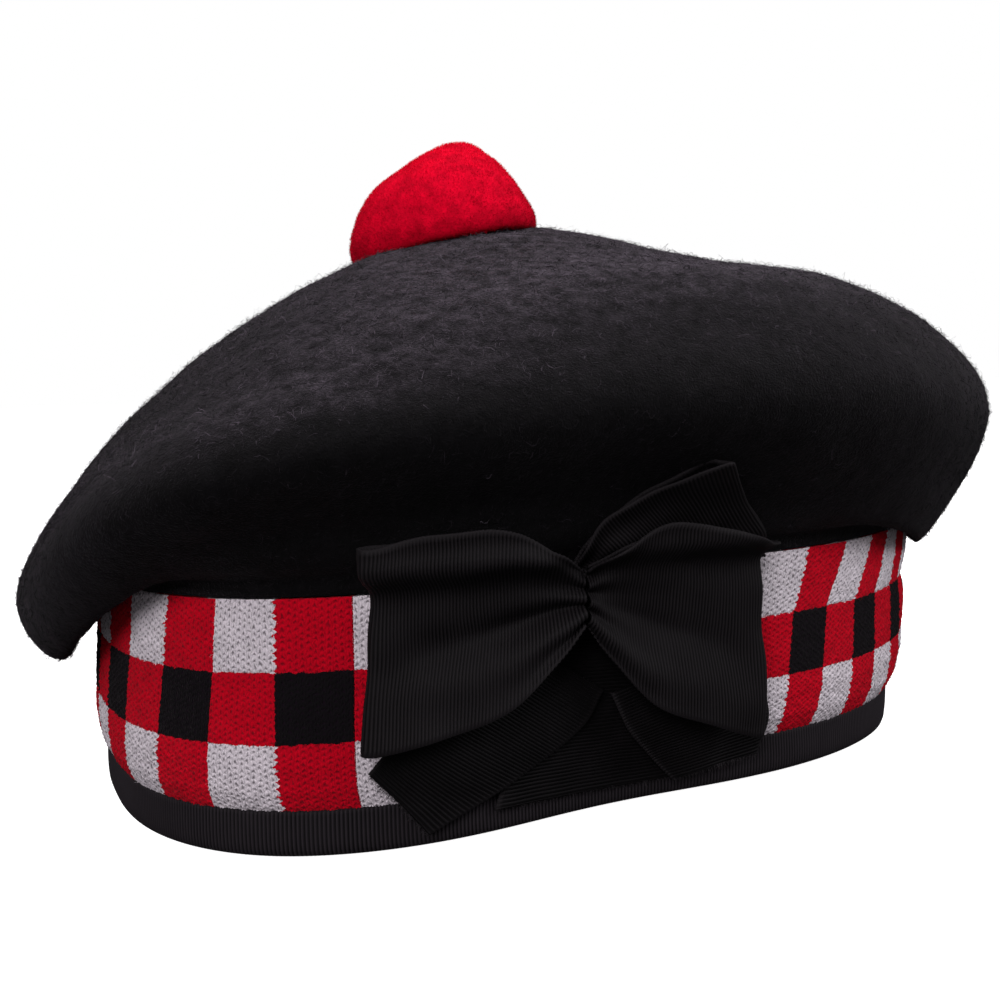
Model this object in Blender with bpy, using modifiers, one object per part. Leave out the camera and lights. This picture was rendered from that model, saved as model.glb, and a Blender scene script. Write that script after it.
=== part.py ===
"""Balmoral bonnet: felt crown, diced knitted band, ribbon edge, wool toorie and ribbon bow.

Metres, +Z up. The rim rests on z = 0, the front faces -Y and the bow is on the wearer's left, +X.
The hat is drawn about the middle of its head opening, then moved so that the origin lies
under the middle of its overall box.
"""

import math
from collections import namedtuple

import bmesh
import bpy
from mathutils import Matrix, Vector

# Driving sizes
HEAD_LENGTH = 0.216
BAND_HEIGHT = 0.0475
BAND_WALL = 0.0025
BAND_SWELL = 0.0015
CROWN_HEIGHT = 0.121
CROWN_OVERHANG = 0.028
CROWN_WALL = 0.0025
CROWN_NECK = 0.003
SHOULDER_REACH = 0.80
MID_REACH = 0.42
BINDING_HEIGHT = 0.0088
BINDING_WALL = 0.001
BINDING_CORNER = 0.0006
RIBBON_WIDTH = 0.043
RIBBON_WALL = 0.001
BOW_REACH = 0.044
BOW_HEIGHT = 0.044
BOW_ANGLE = -25.0
BOW_VALLEY = 0.0035
VALLEY_SPREAD = 0.35
LOOP_CURL = 0.1
LOOP_ROOM = 0.0005
BOW_GAP = 0.0006
RIBBON_EASE = 0.006
TOORIE_WIDTH = 0.046
TOORIE_RISE = 0.0165
TOORIE_ROOT = 0.0065
TOORIE_LOCK = 0.0016
TOORIE_LEAN = 0.004
TOORIE_TAPER = 0.2
TOORIE_BARE = 0.7
TOORIE_FORWARD = 0.0127
TOORIE_SIDEWAYS = -0.0085
CLEARANCE = 0.0003
BOX_SIDEWAYS = -0.0015
BOX_BACK = 0.0043

# Steps in the faceted surfaces
AROUND = 48
CROWN_STEPS = 3
LOOP_STEPS = 2
RIBBON_STEPS = 8

# Meridians of the crown every 30 degrees, from the wearer's left towards the back.
# band: rim radius, share of half the head length. over: overhang, share of CROWN_OVERHANG.
# edge, mid, shoulder: heights, share of CROWN_HEIGHT, at the full reach, MID_REACH and SHOULDER_REACH.
# low: height under the fold, share of BAND_HEIGHT. under: how far out that low point lies, share of
# the overhang. flare: how far the band's top leans out, share of BAND_SWELL.
Meridian = namedtuple("Meridian", "angle band over edge under low mid shoulder flare")
MERIDIANS = (
    Meridian(0, 0.66, 0.95, 0.66, 0.36, 1.30, 0.930, 0.84, 0.3),
    Meridian(30, 0.74, 0.90, 0.645, 0.42, 1.18, 0.920, 0.84, 0.8),
    Meridian(60, 0.87, 0.72, 0.63, 0.42, 1.03, 0.915, 0.815, 1.0),
    Meridian(90, 1.02, 0.70, 0.59, 0.44, 1.04, 0.910, 0.79, 0.8),
    Meridian(120, 0.93, 0.85, 0.59, 0.48, 1.06, 0.910, 0.79, 0.3),
    Meridian(150, 0.75, 0.95, 0.56, 0.50, 1.06, 0.905, 0.77, 0.0),
    Meridian(180, 0.68, 1.00, 0.49, 0.55, 0.96, 0.890, 0.72, 0.0),
    Meridian(210, 0.74, 0.95, 0.40, 0.50, 0.78, 0.885, 0.65, 0.0),
    Meridian(240, 0.89, 0.68, 0.33, 0.46, 0.62, 0.885, 0.64, 0.0),
    Meridian(270, 0.955, 0.62, 0.37, 0.46, 0.68, 0.890, 0.65, 0.0),
    Meridian(300, 1.00, 0.76, 0.56, 0.40, 1.20, 0.890, 0.71, 0.0),
    Meridian(330, 0.73, 0.95, 0.65, 0.36, 1.33, 0.915, 0.80, 0.0),
)

# Outer face of the band from the ribbon edge upwards.
# height: share of BAND_HEIGHT. swell: share of BAND_SWELL proud of the rim outline.
BandRow = namedtuple("BandRow", "height swell")
BAND_ROWS = (
    BandRow(0.26, 0.55),
    BandRow(0.37, 1.0),
    BandRow(0.52, 0.75),
    BandRow(0.72, 0.3),
    BandRow(0.88, 0.15),
    BandRow(1.0, 0.0),
)

# One bow loop, out along its front layer, round its end and back along its rear layer.
# reach: share of the loop's reach. tuck: how far back from there, share of the loop's depth.
# lift: share of its depth. spread: share of its half width.
# valley: share of BOW_VALLEY pressed into the middle of the front layer.
LoopRow = namedtuple("LoopRow", "reach tuck lift spread valley")
LOOP_ROWS = (
    LoopRow(0.00, 0.00, 0.90, 0.36, 0.0),
    LoopRow(0.14, 0.00, 1.00, 0.62, 0.7),
    LoopRow(0.38, 0.00, 1.00, 0.92, 1.0),
    LoopRow(0.68, 0.00, 0.98, 1.00, 0.7),
    LoopRow(1.00, 0.48, 0.94, 1.00, 0.1),
    LoopRow(1.00, 0.14, 0.80, 1.00, 0.0),
    LoopRow(1.00, 0.00, 0.47, 1.00, 0.0),
    LoopRow(1.00, 0.14, 0.14, 1.00, 0.0),
    LoopRow(1.00, 0.48, 0.00, 1.00, 0.0),
    LoopRow(0.60, 0.00, 0.00, 0.94, 0.0),
    LoopRow(0.28, 0.00, 0.00, 0.72, 0.0),
    LoopRow(0.02, 0.00, 0.10, 0.38, 0.0),
)

# The three loops, all starting at the pinch in the middle of the bow.
# way: -1 towards the front, 1 towards the back. reach: share of BOW_REACH. rise: share of BOW_REACH.
# half: half width, share of RIBBON_WIDTH. tilt: degrees. rear: stand-off of the rear layer.
# depth: from the rear layer to the front one.
Loop = namedtuple("Loop", "name way reach rise half tilt rear depth")
LOOPS = (
    Loop("bow_front_loop", -1, 0.96, -0.11, 0.43, 0.0, 0.0053, 0.0066),
    Loop("bow_back_loop", 1, 0.80, -0.27, 0.46, 0.0, 0.0059, 0.0054),
    Loop("bow_upper_loop", 1, 0.80, 0.32, 0.33, 32.0, 0.0005, 0.0050),
)

# Tails of the bow, from where each leaves the loops to its cut end.
# front, back: the two edges, arc from the pinch as share of BOW_REACH. front_up, back_up: their heights,
# share of BAND_HEIGHT. lift: stand-off from what lies behind.
TailRow = namedtuple("TailRow", "front front_up back back_up lift")
TAILS = {
    "bow_centre_tail": (
        TailRow(-0.10, 0.76, 0.14, 0.74, 0.0005),
        TailRow(-0.20, 0.40, 0.28, 0.36, 0.0005),
        TailRow(-0.34, 0.24, 0.46, 0.20, 0.0006),
        TailRow(-0.46, 0.11, 0.60, 0.08, 0.0007),
    ),
    "bow_front_tail": (
        TailRow(-0.34, 0.80, 0.11, 0.52, 0.0025),
        TailRow(-0.54, 0.72, -0.02, 0.38, 0.0023),
        TailRow(-0.74, 0.60, -0.24, 0.24, 0.0021),
        TailRow(-0.90, 0.46, -0.54, 0.09, 0.0020),
    ),
    "bow_back_tail": (
        TailRow(0.14, 0.50, 0.80, 0.66, 0.0025),
        TailRow(0.22, 0.34, 0.90, 0.48, 0.0023),
        TailRow(0.34, 0.20, 0.95, 0.30, 0.0021),
        TailRow(0.46, 0.08, 0.92, 0.13, 0.0020),
    ),
}

COLOURS = {
    "black_felt": (0.012, 0.012, 0.014),
    "diced_knit": (0.45, 0.02, 0.03),
    "black_ribbon": (0.008, 0.008, 0.009),
    "red_wool": (0.60, 0.004, 0.012),
}
ROUGHNESS = 0.9


def clear_scene():
    for item in list(bpy.data.objects):
        bpy.data.objects.remove(item, do_unlink=True)


def cloth_material(name):
    material = bpy.data.materials.new(name)
    material.use_nodes = True
    shader = material.node_tree.nodes["Principled BSDF"]
    shader.inputs["Base Color"].default_value = (*COLOURS[name], 1.0)
    shader.inputs["Roughness"].default_value = ROUGHNESS
    shader.inputs["Metallic"].default_value = 0.0
    return material


def around(column, angle):
    """A column of MERIDIANS at any angle, as a closed Catmull-Rom curve through its rows."""
    count = len(MERIDIANS)
    place = (angle % 360.0) * count / 360.0
    first = int(place) % count
    part = place - int(place)
    before, start, end, after = (
        getattr(MERIDIANS[(first + step) % count], column) for step in (-1, 0, 1, 2)
    )
    linear = (end - before) * part
    square = (2 * before - 5 * start + 4 * end - after) * part**2
    cube = (3 * start - before - 3 * end + after) * part**3
    return 0.5 * (2 * start + linear + square + cube)


def smooth_path(points, steps, beyond=None):
    """Centripetal Catmull-Rom curve through the points, with a straight start and end.

    beyond, where given, is the point that the curve would go on to past its end.
    """
    last = points[-1] * 2 - points[-2] if beyond is None else beyond
    ends = [points[0] * 2 - points[1], *points, last]
    knots = [0.0]
    for here, there in zip(ends, ends[1:]):
        knots.append(knots[-1] + math.sqrt((there - here).length))
    path = []
    for k in range(1, len(ends) - 2):
        p0, p1, p2, p3 = ends[k - 1 : k + 3]
        t0, t1, t2, t3 = knots[k - 1 : k + 3]
        for step in range(steps):
            t = t1 + (t2 - t1) * step / steps
            a1 = p0 * (t1 - t) / (t1 - t0) + p1 * (t - t0) / (t1 - t0)
            a2 = p1 * (t2 - t) / (t2 - t1) + p2 * (t - t1) / (t2 - t1)
            a3 = p2 * (t3 - t) / (t3 - t2) + p3 * (t - t2) / (t3 - t2)
            b1 = a1 * (t2 - t) / (t2 - t0) + a2 * (t - t0) / (t2 - t0)
            b2 = a2 * (t3 - t) / (t3 - t1) + a3 * (t - t1) / (t3 - t1)
            path.append(b1 * (t2 - t) / (t2 - t1) + b2 * (t - t1) / (t2 - t1))
    path.append(points[-1].copy())
    return path


def rim_radius(angle):
    return around("band", angle) * HEAD_LENGTH / 2


def band_top_radius(angle):
    return rim_radius(angle) + around("flare", angle) * BAND_SWELL


def crown_profile(angle, steps=CROWN_STEPS):
    """Outer face of the crown in its meridian plane, from the band's top to the middle."""
    base = band_top_radius(angle)
    reach = base + around("over", angle) * CROWN_OVERHANG
    foot = BAND_HEIGHT + CLEARANCE
    neck = foot + CROWN_NECK
    low_out = (reach - base) * around("under", angle)
    low_up = around("low", angle) * BAND_HEIGHT
    turn_out = CROWN_NECK / 3 + low_out / 3
    turn_up = neck + (low_up - neck) / 4
    points = [
        Vector((base, foot)),
        Vector((base + CROWN_NECK / 6, neck)),
        Vector((base + turn_out, turn_up)),
        Vector((base + low_out, low_up)),
        Vector((reach, around("edge", angle) * CROWN_HEIGHT)),
        Vector((reach * SHOULDER_REACH, around("shoulder", angle) * CROWN_HEIGHT)),
        Vector((reach * MID_REACH, around("mid", angle) * CROWN_HEIGHT)),
        Vector((0.0, CROWN_HEIGHT)),
    ]
    opposite = Vector((-points[-2].x, points[-2].y))
    return smooth_path(points, steps, opposite)


def band_swell(height):
    """How far the band stands proud of the rim outline at a height, without its flare."""
    share = height / BAND_HEIGHT
    if share <= BAND_ROWS[0].height:
        return BAND_ROWS[0].swell * BAND_SWELL
    for low, high in zip(BAND_ROWS, BAND_ROWS[1:]):
        if share <= high.height:
            part = (share - low.height) / (high.height - low.height)
            return (low.swell + (high.swell - low.swell) * part) * BAND_SWELL
    return 0.0


def bare_face(angle, height):
    """Radius of the hat's outer face at a height: the band, or the crown above it."""
    if height <= BAND_HEIGHT:
        lean = around("flare", angle) * BAND_SWELL * max(height, 0.0) / BAND_HEIGHT
        return rim_radius(angle) + band_swell(height) + lean
    profile = crown_profile(angle)
    for low, high in zip(profile, profile[1:]):
        if height <= high.y or high.x <= low.x:
            part = min(max((height - low.y) / (high.y - low.y), 0.0), 1.0)
            return low.x + max(high.x - low.x, 0.0) * part
    raise ValueError("the bow stands above the crown")


def face_and_slope(angle, height):
    """What a ribbon lies on: the face eased over its kinks, and how far it leans out for each rise."""
    above = bare_face(angle, height + RIBBON_EASE)
    below = bare_face(angle, height - RIBBON_EASE)
    middle = bare_face(angle, height)
    radius = (above + middle + below) / 3
    return max(radius, middle), (above - below) / (2 * RIBBON_EASE)


def arc_table():
    """Arc length along the rim from the bow's middle, every half degree over the bow's side."""
    table = [(BOW_ANGLE, 0.0)]
    for way in (-1, 1):
        angle, length = BOW_ANGLE, 0.0
        here = rim_point(angle)
        while abs(angle - BOW_ANGLE) < 120.0:
            angle += way * 0.5
            there = rim_point(angle)
            length += way * (there - here).length
            here = there
            table.append((angle, length))
    return sorted(table)


def rim_point(angle):
    turn = math.radians(angle)
    return Vector((math.cos(turn), math.sin(turn))) * rim_radius(angle)


def angle_at(arc, table):
    for (angle_a, arc_a), (angle_b, arc_b) in zip(table, table[1:]):
        if arc_a <= arc <= arc_b:
            return angle_a + (angle_b - angle_a) * (arc - arc_a) / (arc_b - arc_a)
    raise ValueError("the bow reaches too far round the band")


def on_hat(arc, height, lift, table):
    """A point that stands off the hat's outer face, at an arc from the bow's middle."""
    angle = angle_at(arc, table)
    face, slope = face_and_slope(angle, height)
    radius = face + lift * math.hypot(1.0, slope)
    turn = math.radians(angle)
    return Vector((radius * math.cos(turn), radius * math.sin(turn), height))


def hat_directions(arc, height, table):
    """Unit vectors round the hat towards the back and straight off its outer face."""
    angle = angle_at(arc, table)
    slope = face_and_slope(angle, height)[1]
    turn = math.radians(angle)
    off = Vector((math.cos(turn), math.sin(turn), -slope)).normalized()
    return Vector((-math.sin(turn), math.cos(turn), 0.0)), off


def add_object(name, verts, faces, material, collection):
    mesh = bpy.data.meshes.new(name)
    mesh.from_pydata([tuple(v) for v in verts], [], faces)
    mesh.materials.append(material)
    mesh.shade_smooth()
    mesh.set_sharp_from_angle(angle=math.radians(50))
    obj = bpy.data.objects.new(name, mesh)
    collection.objects.link(obj)
    return obj


def thicken(obj, wall, offset):
    solid = obj.modifiers.new("wall", "SOLIDIFY")
    solid.thickness = wall
    solid.offset = offset
    solid.use_even_offset = True
    return solid


def station_angles():
    return [360.0 * i / AROUND for i in range(AROUND)]


def lifted(angle, point):
    turn = math.radians(angle)
    return Vector((point.x * math.cos(turn), point.x * math.sin(turn), point.y))


def ring_from_sections(name, section, material, collection):
    """A closed ring lofted through the same closed outline at every station."""
    rows = [[lifted(angle, point) for point in section(angle)] for angle in station_angles()]
    size = len(rows[0])
    verts = [v for row in rows for v in row]
    faces = []
    for i in range(AROUND):
        here = i * size
        there = (i + 1) % AROUND * size
        for j in range(size):
            k = (j + 1) % size
            faces.append((here + j, there + j, there + k, here + k))
    return add_object(name, verts, faces, material, collection)


def build_crown(material, collection):
    profiles = [crown_profile(angle)[:-1] for angle in station_angles()]
    size = len(profiles[0])
    verts = []
    for angle, profile in zip(station_angles(), profiles):
        verts.extend(lifted(angle, point) for point in profile)
    verts.append(Vector((0.0, 0.0, CROWN_HEIGHT)))
    faces = []
    for i in range(AROUND):
        here = i * size
        there = (i + 1) % AROUND * size
        for j in range(size - 1):
            faces.append((here + j, there + j, there + j + 1, here + j + 1))
        faces.append((here + size - 1, there + size - 1, len(verts) - 1))
    crown = add_object("crown", verts, faces, material, collection)
    thicken(crown, CROWN_WALL, -1.0)
    return crown


def band_section(angle):
    """Outline of the band's wall: up its outer face and down its inner face."""
    rim = rim_radius(angle)
    lean = around("flare", angle) * BAND_SWELL
    tucked = rim - BINDING_WALL - CLEARANCE
    foot = BINDING_WALL + CLEARANCE
    outer = [
        Vector((tucked, foot)),
        Vector((tucked, BINDING_HEIGHT + CLEARANCE)),
    ]
    for row in BAND_ROWS:
        height = row.height * BAND_HEIGHT
        outer.append(Vector((rim + row.swell * BAND_SWELL + lean * row.height, height)))
    inner = [Vector((point.x - BAND_WALL, point.y)) for point in reversed(outer)]
    return outer + inner


def binding_section(angle):
    """Outline of the ribbon folded over the rim: outer leg, flat foot and inner leg."""
    outer = rim_radius(angle)
    wall = BINDING_WALL
    slot_outer = outer - wall
    slot_inner = slot_outer - BAND_WALL - 2 * CLEARANCE
    inner = slot_inner - wall
    corner = BINDING_CORNER
    return [
        Vector((inner + corner, 0.0)),
        Vector((outer - corner, 0.0)),
        Vector((outer, corner)),
        Vector((outer, BINDING_HEIGHT)),
        Vector((slot_outer, BINDING_HEIGHT)),
        Vector((slot_outer, wall)),
        Vector((slot_inner, wall)),
        Vector((slot_inner, BINDING_HEIGHT)),
        Vector((inner, BINDING_HEIGHT)),
        Vector((inner, corner)),
    ]


def ribbon_sheet(name, sections, offset, material, collection):
    """A sheet lofted through sections of equal length, given the ribbon's wall."""
    size = len(sections[0])
    verts = [v for row in sections for v in row]
    faces = []
    for i in range(len(sections) - 1):
        for j in range(size - 1):
            here = i * size + j
            faces.append((here, here + 1, here + size + 1, here + size))
    sheet = add_object(name, verts, faces, material, collection)
    thicken(sheet, RIBBON_WALL, offset)
    return sheet


def loop_faces(loop, table):
    """Rows of points across the loop's outer face and across its inner face, one wall further in."""
    tilt = math.radians(loop.tilt)
    half = loop.half * RIBBON_WIDTH
    deepest = min(BOW_VALLEY, loop.depth - 2 * RIBBON_WALL - LOOP_ROOM)
    path = smooth_path([Vector(row) for row in LOOP_ROWS], LOOP_STEPS)
    columns = []
    for j in range(RIBBON_STEPS + 1):
        across = 2.0 * j / RIBBON_STEPS - 1.0
        curve = []
        for reach, tuck, lift, _, valley in path:
            curl = lift * loop.depth * (1.0 - LOOP_CURL * across**2)
            press = valley * deepest * math.exp(-((across / VALLEY_SPREAD) ** 2))
            out = reach * loop.reach * BOW_REACH - tuck * loop.depth + BOW_GAP / 2
            curve.append(Vector((out, max(curl - press, 0.0))))
        pairs = []
        for k, (reach, _, _, spread, _) in enumerate(path):
            along = (curve[min(k + 1, len(curve) - 1)] - curve[max(k - 1, 0)]).normalized()
            aside = across * half * spread
            height = BOW_HEIGHT + reach * loop.rise * BOW_REACH + aside * math.cos(tilt)
            arc = loop.way * (curve[k].x - aside * math.sin(tilt))
            point = on_hat(arc, height, loop.rear + curve[k].y, table)
            back, off = hat_directions(arc, height, table)
            inwards = (back * along.y * loop.way - off * along.x).normalized()
            pairs.append((point, point + inwards * RIBBON_WALL))
        columns.append(pairs)
    outer = [[column[k][0] for column in columns] for k in range(len(path))]
    inner = [[column[k][1] for column in columns] for k in range(len(path))]
    return outer, inner


def build_loop(loop, table, material, collection):
    outer, inner = loop_faces(loop, table)
    count, size = len(outer), len(outer[0])
    verts = [v for row in outer + inner for v in row]
    under = count * size
    faces = []
    for i in range(count - 1):
        for j in range(size - 1):
            here = i * size + j
            face = (here, here + 1, here + size + 1, here + size)
            faces.append(face)
            faces.append(tuple(under + v for v in reversed(face)))
    edge = [j for j in range(size)]
    edge += [i * size + size - 1 for i in range(1, count)]
    edge += [(count - 1) * size + j for j in range(size - 2, -1, -1)]
    edge += [i * size for i in range(count - 2, 0, -1)]
    for here, there in zip(edge, edge[1:] + edge[:1]):
        faces.append((there, here, under + here, under + there))
    if loop.way > 0:
        faces = [tuple(reversed(face)) for face in faces]
    return add_object(loop.name, verts, faces, material, collection)


def build_tail(name, rows, table, material, collection):
    sections = []
    for row in rows:
        section = []
        for j in range(RIBBON_STEPS + 1):
            part = 1.0 - j / RIBBON_STEPS
            arc = (row.front + (row.back - row.front) * part) * BOW_REACH
            height = (row.front_up + (row.back_up - row.front_up) * part) * BAND_HEIGHT
            section.append(on_hat(arc, height, row.lift, table))
        sections.append(section)
    return ribbon_sheet(name, sections, 1.0, material, collection)


def crown_top(x, y):
    """Height of the crown's outer face above a point inside its edge."""
    angle = math.degrees(math.atan2(y, x))
    radius = math.hypot(x, y)
    profile = crown_profile(angle)
    for inner, outer in zip(reversed(profile), list(reversed(profile))[1:]):
        if inner.x <= radius <= outer.x:
            part = (radius - inner.x) / (outer.x - inner.x)
            return inner.y + (outer.y - inner.y) * part
    raise ValueError("the toorie stands past the crown's edge")


def build_toorie(material, collection):
    """A leaning dome of short wool locks: each upper facet of the core is drawn out into one."""
    x, y = TOORIE_SIDEWAYS, -TOORIE_FORWARD
    step = TOORIE_WIDTH / 8
    slope_x = (crown_top(x + step, y) - crown_top(x - step, y)) / (2 * step)
    slope_y = (crown_top(x, y + step) - crown_top(x, y - step)) / (2 * step)
    normal = Vector((-slope_x, -slope_y, 1.0)).normalized()
    seat = Vector((x, y, crown_top(x, y))) + normal * CLEARANCE
    core = TOORIE_WIDTH / 2 - TOORIE_LOCK
    rise = TOORIE_RISE - TOORIE_LOCK

    shape = bmesh.new()
    bmesh.ops.create_icosphere(shape, subdivisions=3, radius=1.0)
    for vert in shape.verts:
        up = vert.co.z
        if up >= 0:
            vert.co *= core * (1.0 - TOORIE_TAPER * up)
            vert.co.y += up * TOORIE_LEAN
            vert.co.z = up * rise
        else:
            vert.co *= core
            vert.co.z = -min(-up * 2.0, 1.0) * TOORIE_ROOT
    locks = [face for face in shape.faces if face.calc_center_median().z > -TOORIE_ROOT * TOORIE_BARE]
    bmesh.ops.inset_individual(shape, faces=locks, thickness=TOORIE_LOCK / 4, depth=TOORIE_LOCK)
    mesh = bpy.data.meshes.new("toorie")
    shape.to_mesh(mesh)
    shape.free()
    mesh.materials.append(material)
    toorie = bpy.data.objects.new("toorie", mesh)
    collection.objects.link(toorie)
    forward = normal.cross(Vector((1.0, 0.0, 0.0))).normalized()
    axes = Matrix((forward.cross(normal), forward, normal)).transposed()
    place = Matrix.Translation(seat + normal * TOORIE_ROOT)
    toorie.matrix_world = place @ axes.to_4x4()
    return toorie


def main():
    clear_scene()
    collection = bpy.data.collections.new("balmoral_bonnet")
    bpy.context.scene.collection.children.link(collection)
    cloth = {name: cloth_material(name) for name in COLOURS}
    table = arc_table()
    build_crown(cloth["black_felt"], collection)
    ring_from_sections("diced_band", band_section, cloth["diced_knit"], collection)
    ring_from_sections("edge_binding", binding_section, cloth["black_ribbon"], collection)
    for loop in LOOPS:
        build_loop(loop, table, cloth["black_ribbon"], collection)
    for name, rows in TAILS.items():
        build_tail(name, rows, table, cloth["black_ribbon"], collection)
    build_toorie(cloth["red_wool"], collection)
    for obj in collection.objects:
        obj.location -= Vector((BOX_SIDEWAYS, BOX_BACK, 0.0))


main()
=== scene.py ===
"""Balmoral bonnet: the looks of a felt bonnet with a diced knitted band, ribbon bow and wool toorie.

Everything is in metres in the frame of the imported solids. The hat is drawn about the middle of its
head opening, and set_down() moves each finished piece to that frame.
"""

import math
from collections import namedtuple

import bpy
import numpy as np
from mathutils import Matrix, Vector, noise


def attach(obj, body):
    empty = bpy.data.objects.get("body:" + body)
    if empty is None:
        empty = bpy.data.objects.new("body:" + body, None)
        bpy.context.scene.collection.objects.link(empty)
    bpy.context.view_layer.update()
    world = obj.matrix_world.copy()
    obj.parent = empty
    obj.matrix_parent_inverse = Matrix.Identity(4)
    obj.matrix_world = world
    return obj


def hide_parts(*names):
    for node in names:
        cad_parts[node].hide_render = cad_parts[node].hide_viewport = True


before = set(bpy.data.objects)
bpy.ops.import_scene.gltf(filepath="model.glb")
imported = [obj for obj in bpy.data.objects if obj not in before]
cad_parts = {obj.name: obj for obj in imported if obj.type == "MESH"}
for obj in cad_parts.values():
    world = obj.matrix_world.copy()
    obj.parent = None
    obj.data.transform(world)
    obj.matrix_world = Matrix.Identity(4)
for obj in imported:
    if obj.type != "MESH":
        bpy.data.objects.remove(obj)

bl_info = {
    "name": "Balmoral Bonnet",
    "version": (1, 0, 0),
    "blender": (4, 5, 0),
    "location": "View3D > Sidebar > Bonnet",
    "description": "Builds a felt bonnet with a diced band, a ribbon bow and a wool toorie",
    "category": "Add Mesh",
}

# Middle of the hat's box from the middle of its head opening
BOX_SIDEWAYS = -0.0015
BOX_BACK = 0.0043

# Sizes shared by pieces
HEAD_LENGTH = 0.216
BAND_HEIGHT = 0.0475
BAND_WALL = 0.0025
BAND_SWELL = 0.0015
CROWN_HEIGHT = 0.121
CROWN_OVERHANG = 0.028
CROWN_WALL = 0.0025
CROWN_NECK = 0.003
SHOULDER_REACH = 0.80
MID_REACH = 0.42
BINDING_HEIGHT = 0.0088
BINDING_WALL = 0.001
CLEARANCE = 0.0003
RIBBON_WIDTH = 0.043
BOW_REACH = 0.044
BOW_HEIGHT = 0.044
BOW_ANGLE = -25.0
LOOP_ROOM = 0.0013

# How often the crown's roll is eased, and where along its path that sets in, in rows of its table
ROLL_EASE = 36
ROLL_FROM = 0.5
ROLL_OVER = 1.2

# How far the band is drawn in at the back of the head, and the crease above that
TUCK_DEPTH = 0.0106
TUCK_POWER = 1.9
TUCK_ANGLE = 100.0
TUCK_SPREAD = 42.0
CREASE_DEPTH = 0.0022
CREASE_HEIGHT = 0.0345
CREASE_SPREAD = 0.0035

# Samples along each rib, and the flat edge of the bow's ribbon as a share of its half width
RIB_STEPS = 4
SELVEDGE = 0.06

# Table of the face that the bow lies on: its angles, its top and its steps
FACE_FROM = -150.0
FACE_TO = 121.0
FACE_TOP = 0.0851
FACE_TURN = 1.0
FACE_RISE = 0.0005

# How bright the floor looks to the camera, and the share of its colour that the hat gets from it
FLOOR_GLOW = 0.90
FLOOR_BOUNCE = 0.10

# Meridians of the crown every 30 degrees, from the wearer's left towards the back.
# band: rim radius, share of half the head length. over: overhang, share of CROWN_OVERHANG.
# edge, mid, shoulder: heights, share of CROWN_HEIGHT, at the full reach, MID_REACH and SHOULDER_REACH.
# low: height under the fold, share of BAND_HEIGHT. under: how far out that low point lies, share of
# the overhang. flare: how far the band's top leans out, share of BAND_SWELL.
Meridian = namedtuple("Meridian", "angle band over edge under low mid shoulder flare")
MERIDIANS = (
    Meridian(0, 0.66, 0.95, 0.66, 0.36, 1.30, 0.930, 0.84, 0.3),
    Meridian(30, 0.74, 0.90, 0.650, 0.34, 1.08, 0.925, 0.84, 0.8),
    Meridian(60, 0.87, 0.72, 0.616, 0.14, 0.87, 0.922, 0.820, 1.5),
    Meridian(90, 1.02, 0.71, 0.574, 0.14, 0.88, 0.915, 0.795, 1.5),
    Meridian(120, 0.93, 0.85, 0.59, 0.48, 1.06, 0.910, 0.79, 0.3),
    Meridian(150, 0.75, 0.95, 0.56, 0.50, 1.06, 0.905, 0.77, 0.0),
    Meridian(180, 0.68, 1.00, 0.49, 0.55, 0.96, 0.890, 0.72, 0.0),
    Meridian(210, 0.74, 0.95, 0.40, 0.50, 0.78, 0.893, 0.640, 0.0),
    Meridian(240, 0.89, 0.68, 0.32, 0.46, 0.58, 0.895, 0.628, 0.0),
    Meridian(270, 0.955, 0.62, 0.36, 0.46, 0.64, 0.900, 0.640, 0.0),
    Meridian(300, 1.00, 0.76, 0.56, 0.40, 1.20, 0.890, 0.71, 0.0),
    Meridian(330, 0.73, 0.95, 0.65, 0.36, 1.33, 0.915, 0.80, 0.0),
)

# Outer face of the band from the ribbon edge upwards.
# height: share of BAND_HEIGHT. swell: share of BAND_SWELL proud of the rim outline.
BandRow = namedtuple("BandRow", "height swell")
BAND_ROWS = (
    BandRow(0.00, -0.90),
    BandRow(0.17, -0.75),
    BandRow(0.20, -0.10),
    BandRow(0.26, 0.65),
    BandRow(0.37, 1.00),
    BandRow(0.52, 0.75),
    BandRow(0.72, 0.30),
    BandRow(0.88, 0.15),
    BandRow(1.00, 0.00),
)

# The dice: rows by height up the band, and columns by arc along the rim from DICE_ANGLE.
# The bow lies over the first DICE_UNDER_BOW columns, between the two arcs.
DICE_ANGLE = -33.0
DICE_COUNT = 42
DICE_UNDER_BOW = 7
DICE_FIRST_ARC = -0.034
DICE_LAST_ARC = 0.0626
DICE_HEIGHTS = (0.0089, 0.0212, 0.0342, 0.0475)
STITCHES_ACROSS = 12
STITCHES_UP = 11

# How far dice slide along the rim. In front of the bow the top of each slides FRONT_BUNCH further than
# that of the one before, over FRONT_BUNCH_DICE dice or so. Behind the bow each is BACK_GATHER narrower,
# over BACK_GATHER_DICE dice or so, but for the loose top edge of the first LOOSE_TOP_DICE.
# BACK_LEAN is how far they lean at each of DICE_HEIGHTS, over BACK_LEAN_DICE dice or so.
FRONT_BUNCH = 0.0030
FRONT_BUNCH_DICE = 4.5
BACK_GATHER = 0.0033
BACK_GATHER_DICE = 13.0
BACK_LEAN = (-0.0019, 0.0, 0.0025, 0.0078)
BACK_LEAN_DICE = 6.0
LOOSE_TOP_DICE = 4.0

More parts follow.
